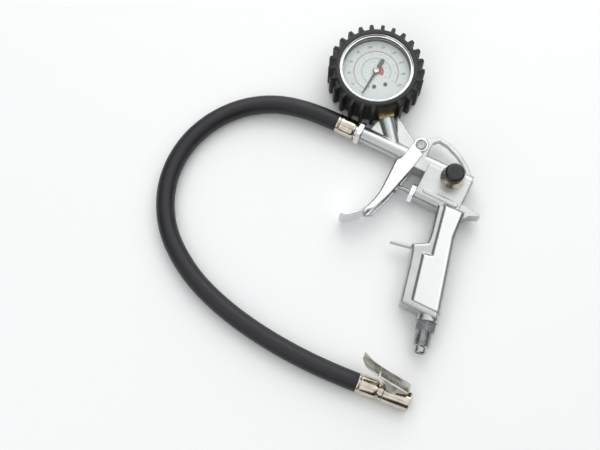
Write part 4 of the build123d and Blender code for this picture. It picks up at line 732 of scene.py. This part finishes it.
class INFLATOR_OT_casting(bpy.types.Operator):
    """Finish the cast body, the lever, its pin and the air valve."""

    bl_idname = "inflator.casting"
    bl_label = "Casting, lever and valve"

    def execute(self, context):
        paint_nodes("casting", "gun_body")
        paint_nodes("trigger", "trigger")
        head, well = GLAND_HEAD, GLAND_HEAD - 0.5
        profile = rounded(
            [(-7.0, 0), (-7.0, GLAND_THREAD_R), (0, GLAND_THREAD_R), (0, 6.9), (0.4, 7.4), (0.5, GLAND_CORNER_R),
             (head - 0.7, GLAND_CORNER_R), (head - 0.1, 6.6), (head, 6.2), (head, 3.0), (well, ROD_HOLE_R),
             (well, 0)], 0.2, 4)
        gland = turned("gland_nut_faces", GLAND, profile, 144, hexagon(GLAND_FLATS, 10.0, math.pi / 6),
                       smooth_angle=25)
        fit(gland, "gun", "zinc_steel", "chrome", "gland_nut")
        under = PANEL_TOP - RIVET_HEAD
        profile = rounded(
            [(0, 0), (0, 4.2), (RIVET_HEAD, RIVET_HEAD_R), (RIVET_HEAD, RIVET_R), (under, RIVET_R),
             (under, RIVET_HEAD_R), (22.0, RIVET_HEAD_R), (PANEL_TOP, 4.0), (PANEL_TOP, 3.3), (21.9, 2.9),
             (21.9, 0)], 0.35, 5)
        rivet = turned("pivot_rivet", PIVOT_AXIS, profile, 96, smooth_angle=50)
        fit(rivet, "gun", "steel", "steel", "trigger_pin")
        paint_nodes("steel", "push_rod", "valve_spring")
        paint_nodes("brass", "valve_sleeve", "valve_seat", "valve_poppet")
        paint_nodes("seal", "gland_packing", "poppet_seal")
        return {"FINISHED"}


class INFLATOR_OT_bleed_valve(bpy.types.Operator):
    """Finish the bleed valve on the side of the body."""

    bl_idname = "inflator.bleed_valve"
    bl_label = "Bleed valve"

    def execute(self, context):
        paint_nodes("nickel", "bleed_collar")
        paint_nodes("plastic", "bleed_cap")
        paint_nodes("brass", "bleed_stem")
        paint_nodes("seal", "bleed_seal")
        paint_nodes("steel", "bleed_spring")
        return {"FINISHED"}


class INFLATOR_OT_boot(bpy.types.Operator):
    """Mould the rubber boot with its fins, and turn the chrome bezel."""

    bl_idname = "inflator.boot"
    bl_label = "Boot and bezel"

    def execute(self, context):
        settings = context.scene.inflator
        outside = rounded(
            [(0, 0), (0, 33.8), (1.6, BOOT_R), (BOOT_TOP - 2.2, BOOT_R), (BOOT_TOP, BOOT_R - 1.6),
             (BOOT_TOP, BOOT_LIP_R + 0.2), (BEZEL_TOP, BOOT_LIP_R), (BEZEL_TOP, CAVITY_R), (CASE_BACK, CAVITY_R),
             (CASE_BACK, 0)], 1.2, 6)
        fins, step, height = settings.fin_count, settings.fin_step, settings.fin_height / MM

        def with_fins(distance, radius, angle):
            """Radius plus a fin, whose flanks ease up and down, away from the stem and from both rims."""
            from_top = (angle + math.pi) % (2 * math.pi) - math.pi
            place = from_top / step + (fins - 1) / 2
            across = np.abs(place - np.clip(np.round(place), 0, fins - 1)) * step * BOOT_R
            ridge = np.clip((FIN_HALF + FIN_FLANK - across) / FIN_FLANK, 0, 1)
            ridge = ridge * ridge * (3 - 2 * ridge)
            ends = np.clip((distance - 0.2) / 1.6, 0, 1) * np.clip((BOOT_TOP - 0.6 - distance) / 2.2, 0, 1)
            ends = np.sqrt(np.clip(ends * (2 - ends), 0, 1))
            outer = np.clip((radius - 32.8) / 1.2, 0, 1)
            return radius + height * ridge * ends * outer

        boot = turned("rubber_boot", DIAL, outside, 24 * 36, with_fins, smooth_angle=60)
        fit(boot, "gun", "black_rubber", "boot", "gauge_boot")
        ring = rounded(
            [(LENS_EDGE, 30.3), (LENS_EDGE, 30.95), (28.6, 30.95), (BEZEL_TOP, 30.4), (BEZEL_TOP, 29.75),
             (28.7, 29.35), (28.1, 28.95), (28.1, 28.8), (28.4, 28.5), (28.4, 28.2), (28.1, LENS_SEEN_R),
             (LENS_FRONT, LENS_SEEN_R), (LENS_FRONT, 30.3), (LENS_EDGE, 30.3)], 0.18, 5)
        bezel = turned("chrome_bezel", DIAL, ring, 192, closed=True, smooth_angle=50)
        fit(bezel, "gun", "chrome_steel", "chrome", "gauge_bezel")
        paint_nodes("chrome", "gauge_case")
        paint_nodes("lens", "gauge_lens")
        paint_nodes("seal", "lens_gasket")
        paint_nodes("brass", "gauge_stem")
        return {"FINISHED"}


class INFLATOR_OT_dial(bpy.types.Operator):
    """Print the dial's scales and numbers, and finish the needle and movement."""

    bl_idname = "inflator.dial"
    bl_label = "Dial and movement"

    def execute(self, context):
        settings = context.scene.inflator
        paint_nodes("dial", "gauge_dial")
        self.cut_needle()
        self.print_scales(settings)
        self.print_numbers(settings)
        paint_nodes("brass", "bourdon_tube", "bourdon_tip", "movement_plates", "sector_gear", "gauge_link",
                    "hairspring")
        paint_nodes("steel", "needle_spindle", "needle_stop")
        paint_nodes("plastic", "dial_screws")
        return {"FINISHED"}

    @staticmethod
    def cut_needle():
        """Blade with a broad tail and round hub, and the dished cap that holds it.

        Half the blade's width is the larger of a taper to the tip and a circle about the hub.
        """
        length = np.concatenate([np.linspace(NEEDLE_TAIL, -3.2, 12), np.linspace(-2.9, 2.9, 33),
                                 np.linspace(3.2, NEEDLE_TIP, 24)])
        taper = np.interp(length, [NEEDLE_TAIL, NEEDLE_TAIL + 1.0, -5.0, -2.5, 2.5, 21.0, NEEDLE_TIP],
                          [1.2, 1.7, 1.7, 1.1, 1.05, 0.55, 0.1])
        hub = np.sqrt(np.clip(NEEDLE_HUB_R ** 2 - length ** 2, 0, None))
        half = np.maximum(taper, hub)[:, None]
        bevel = 0.15
        across = np.concatenate([half, half, half - bevel, bevel - half, -half, -half], 1)
        drop = np.array([NEEDLE_THICK, bevel, 0, 0, bevel, NEEDLE_THICK])[None, :] + 0 * half
        pointing = (math.cos(NEEDLE_REST), math.sin(NEEDLE_REST), 0)
        axis = axis_frame((DIAL_CENTRE[0], DIAL_CENTRE[1], NEEDLE_AT), pointing, UP)
        path = np.stack([length, np.full_like(length, NEEDLE_THICK)], 1)
        blade = strip("needle_blade", axis, path, np.stack([across, drop], -1), 25)
        fit(blade, "needle", "needle_black", "needle", "gauge_needle")
        seat, rim, dish = NEEDLE_AT + NEEDLE_THICK, NEEDLE_AT + 1.7, NEEDLE_AT + 1.4
        cap = turned("needle_hub_cap", DIAL, rounded(
            [(seat, 0), (seat, HUB_CAP_R), (NEEDLE_AT + 1.3, HUB_CAP_R), (rim, 2.0), (rim, 1.5), (dish, 1.0),
             (dish, 0)], 0.2, 4))
        fit(cap, "needle", "brass", "nickel", "needle_cap")

    @staticmethod
    def angle_of(share):
        """Angle from the dial's top of a share of the scale, clockwise from its start by the stem."""
        return math.radians(SCALE_SWEEP) * (0.5 - share)

    def print_scales(self, settings):
        """Ticks are narrow bands square to the scale arcs; each arc is one long band."""
        fine, coarse = settings.dial_divisions * 5, 30
        outer = [(0.11, OUTER_SCALE_R, OUTER_SCALE_R + (1.7 if tick % 5 == 0 else 0.9), self.angle_of(tick / fine))
                 for tick in range(fine + 1)]
        inner = [(0.08, INNER_SCALE_R - (1.2 if tick % 2 == 0 else 0.7), INNER_SCALE_R,
                  self.angle_of(tick / coarse)) for tick in range(coarse + 1)]
        ticks = [band(low, high, angle - half / low, angle + half / low, 2)
                 for half, low, high, angle in outer + inner]
        fit(printed("dial_ticks", ticks), "gun", "needle_black", "ink")
        ends = self.angle_of(1), self.angle_of(0)
        mark = map(math.radians, MARK_ANGLES)
        red = [band(OUTER_SCALE_R - 0.45, OUTER_SCALE_R + 0.02, *ends, 160), band(1.6, 6.4, *mark, 24)]
        fit(printed("dial_red_scale", red), "gun", "needle_black", "red_ink")
        teal = [band(INNER_SCALE_R - 0.02, INNER_SCALE_R + 0.55, *ends, 160)]
        fit(printed("dial_teal_scale", teal), "gun", "needle_black", "teal_ink")

    def print_numbers(self, settings):
        """Numbers stand upright to the dial, each set on its own share of the scale."""
        rows = []
        for step in range(settings.dial_divisions + 1):
            angle = self.angle_of(step / settings.dial_divisions)
            rows.append((str(20 * step), NUMBER_R, OUTER_NUMBER, angle))
            rows.append((str(2 * step), OUTER_RING_R, RING_NUMBER, angle))
            rows.append((str(step), INNER_RING_R, RING_NUMBER, angle))
        fit(lettered("dial_numbers", rows), "gun", "needle_black", "ink")


class INFLATOR_OT_inlet(bpy.types.Operator):
    """Turn the inlet nipple with its hexagon and pipe thread."""

    bl_idname = "inflator.inlet"
    bl_label = "Inlet nipple"

    def execute(self, context):
        pitch = context.scene.inflator.thread_pitch / MM
        rows = np.linspace(THREAD_FROM, THREAD_TO, 164)
        base = rounded(
            [(-11.8, 0), (-11.8, 6.5), (0, 6.5), (0, 7.6), (0.3, 8.0), (0.6, INLET_CORNER_R), (7.3, INLET_CORNER_R),
             (7.9, 7.2), (INLET_HEX_TO, 6.9), (INLET_HEX_TO, 5.7), (8.5, 5.7)], 0.2, 4)
        nose = rounded(
            [(19.8, 5.3), (20.4, NOSE_R), (24.0, NOSE_R), (24.9, 4.2), (INLET_LONG, 4.0), (INLET_LONG, INLET_BORE_R),
             (18.0, INLET_BORE_R), (18.0, 0)], 0.3, 5)
        profile = np.vstack([base, np.stack([rows, np.full_like(rows, CREST_R)], 1), nose])

        def flats_and_thread(distance, radius, angle):
            """Hexagon near the casting; further out the crest less a triangle wave that winds once a pitch."""
            hexed = hexagon(INLET_FLATS, INLET_HEX_TO)(distance, radius, angle)
            wave = np.abs(2 * ((distance / pitch - angle / (2 * math.pi)) % 1.0) - 1.0)
            fade = np.clip((distance - THREAD_FROM) / 1.0, 0, 1) * np.clip((19.9 - distance) / 0.8, 0, 1)
            cut = THREAD_DEPTH * np.clip(1.25 * wave - 0.12, 0, 1)
            threaded = (distance > THREAD_FROM - 0.05) & (distance < THREAD_TO + 0.05)
            return np.where(threaded, radius - cut - 0.7 * (1 - fade), hexed)

        nipple = turned("threaded_inlet", INLET, profile, 192, flats_and_thread, smooth_angle=40)
        fit(nipple, "gun", "steel", "thread_steel", "inlet_nipple")
        return {"FINISHED"}


class INFLATOR_OT_chuck(bpy.types.Operator):
    """Finish the clip-on chuck on the hose's end."""

    bl_idname = "inflator.chuck"
    bl_label = "Clip-on chuck"

    def execute(self, context):
        paint_nodes("nickel", "chuck_body", "chuck_barb")
        paint_nodes("steel", "chuck_lever_pin", "chuck_spring")
        paint_nodes("seal", "chuck_seal")
        paint_nodes("brass", "chuck_depressor")
        return {"FINISHED"}


class INFLATOR_PT_panel(bpy.types.Panel):
    """Sizes, and one button for each group of pieces."""

    bl_idname = "INFLATOR_PT_panel"
    bl_label = "Tyre inflator gun"
    bl_space_type = "VIEW_3D"
    bl_region_type = "UI"
    bl_category = "Inflator"

    def draw(self, context):
        for name in InflatorSettings.__annotations__:
            self.layout.prop(context.scene.inflator, name)
        for operator in OPERATORS:
            self.layout.operator(operator.bl_idname)


OPERATORS = (INFLATOR_OT_stage, INFLATOR_OT_hose, INFLATOR_OT_casting, INFLATOR_OT_bleed_valve, INFLATOR_OT_boot,
             INFLATOR_OT_dial, INFLATOR_OT_inlet, INFLATOR_OT_chuck)


def register():
    for made in (InflatorSettings, *OPERATORS, INFLATOR_PT_panel):
        bpy.utils.register_class(made)
    bpy.types.Scene.inflator = bpy.props.PointerProperty(type=InflatorSettings)


def unregister():
    del bpy.types.Scene.inflator
    for made in reversed((InflatorSettings, *OPERATORS, INFLATOR_PT_panel)):
        bpy.utils.unregister_class(made)


def corners(box):
    """A box's two corners as plain lists."""
    return [[float(value) for value in corner] for corner in box]


def main():
    register()
    make_materials()
    for operator in OPERATORS:
        call = getattr(bpy.ops.inflator, operator.bl_idname.split(".")[1])
        if call() != {"FINISHED"}:
            raise RuntimeError(operator.bl_label + " did not finish")


if __name__ == "__main__":
    main()
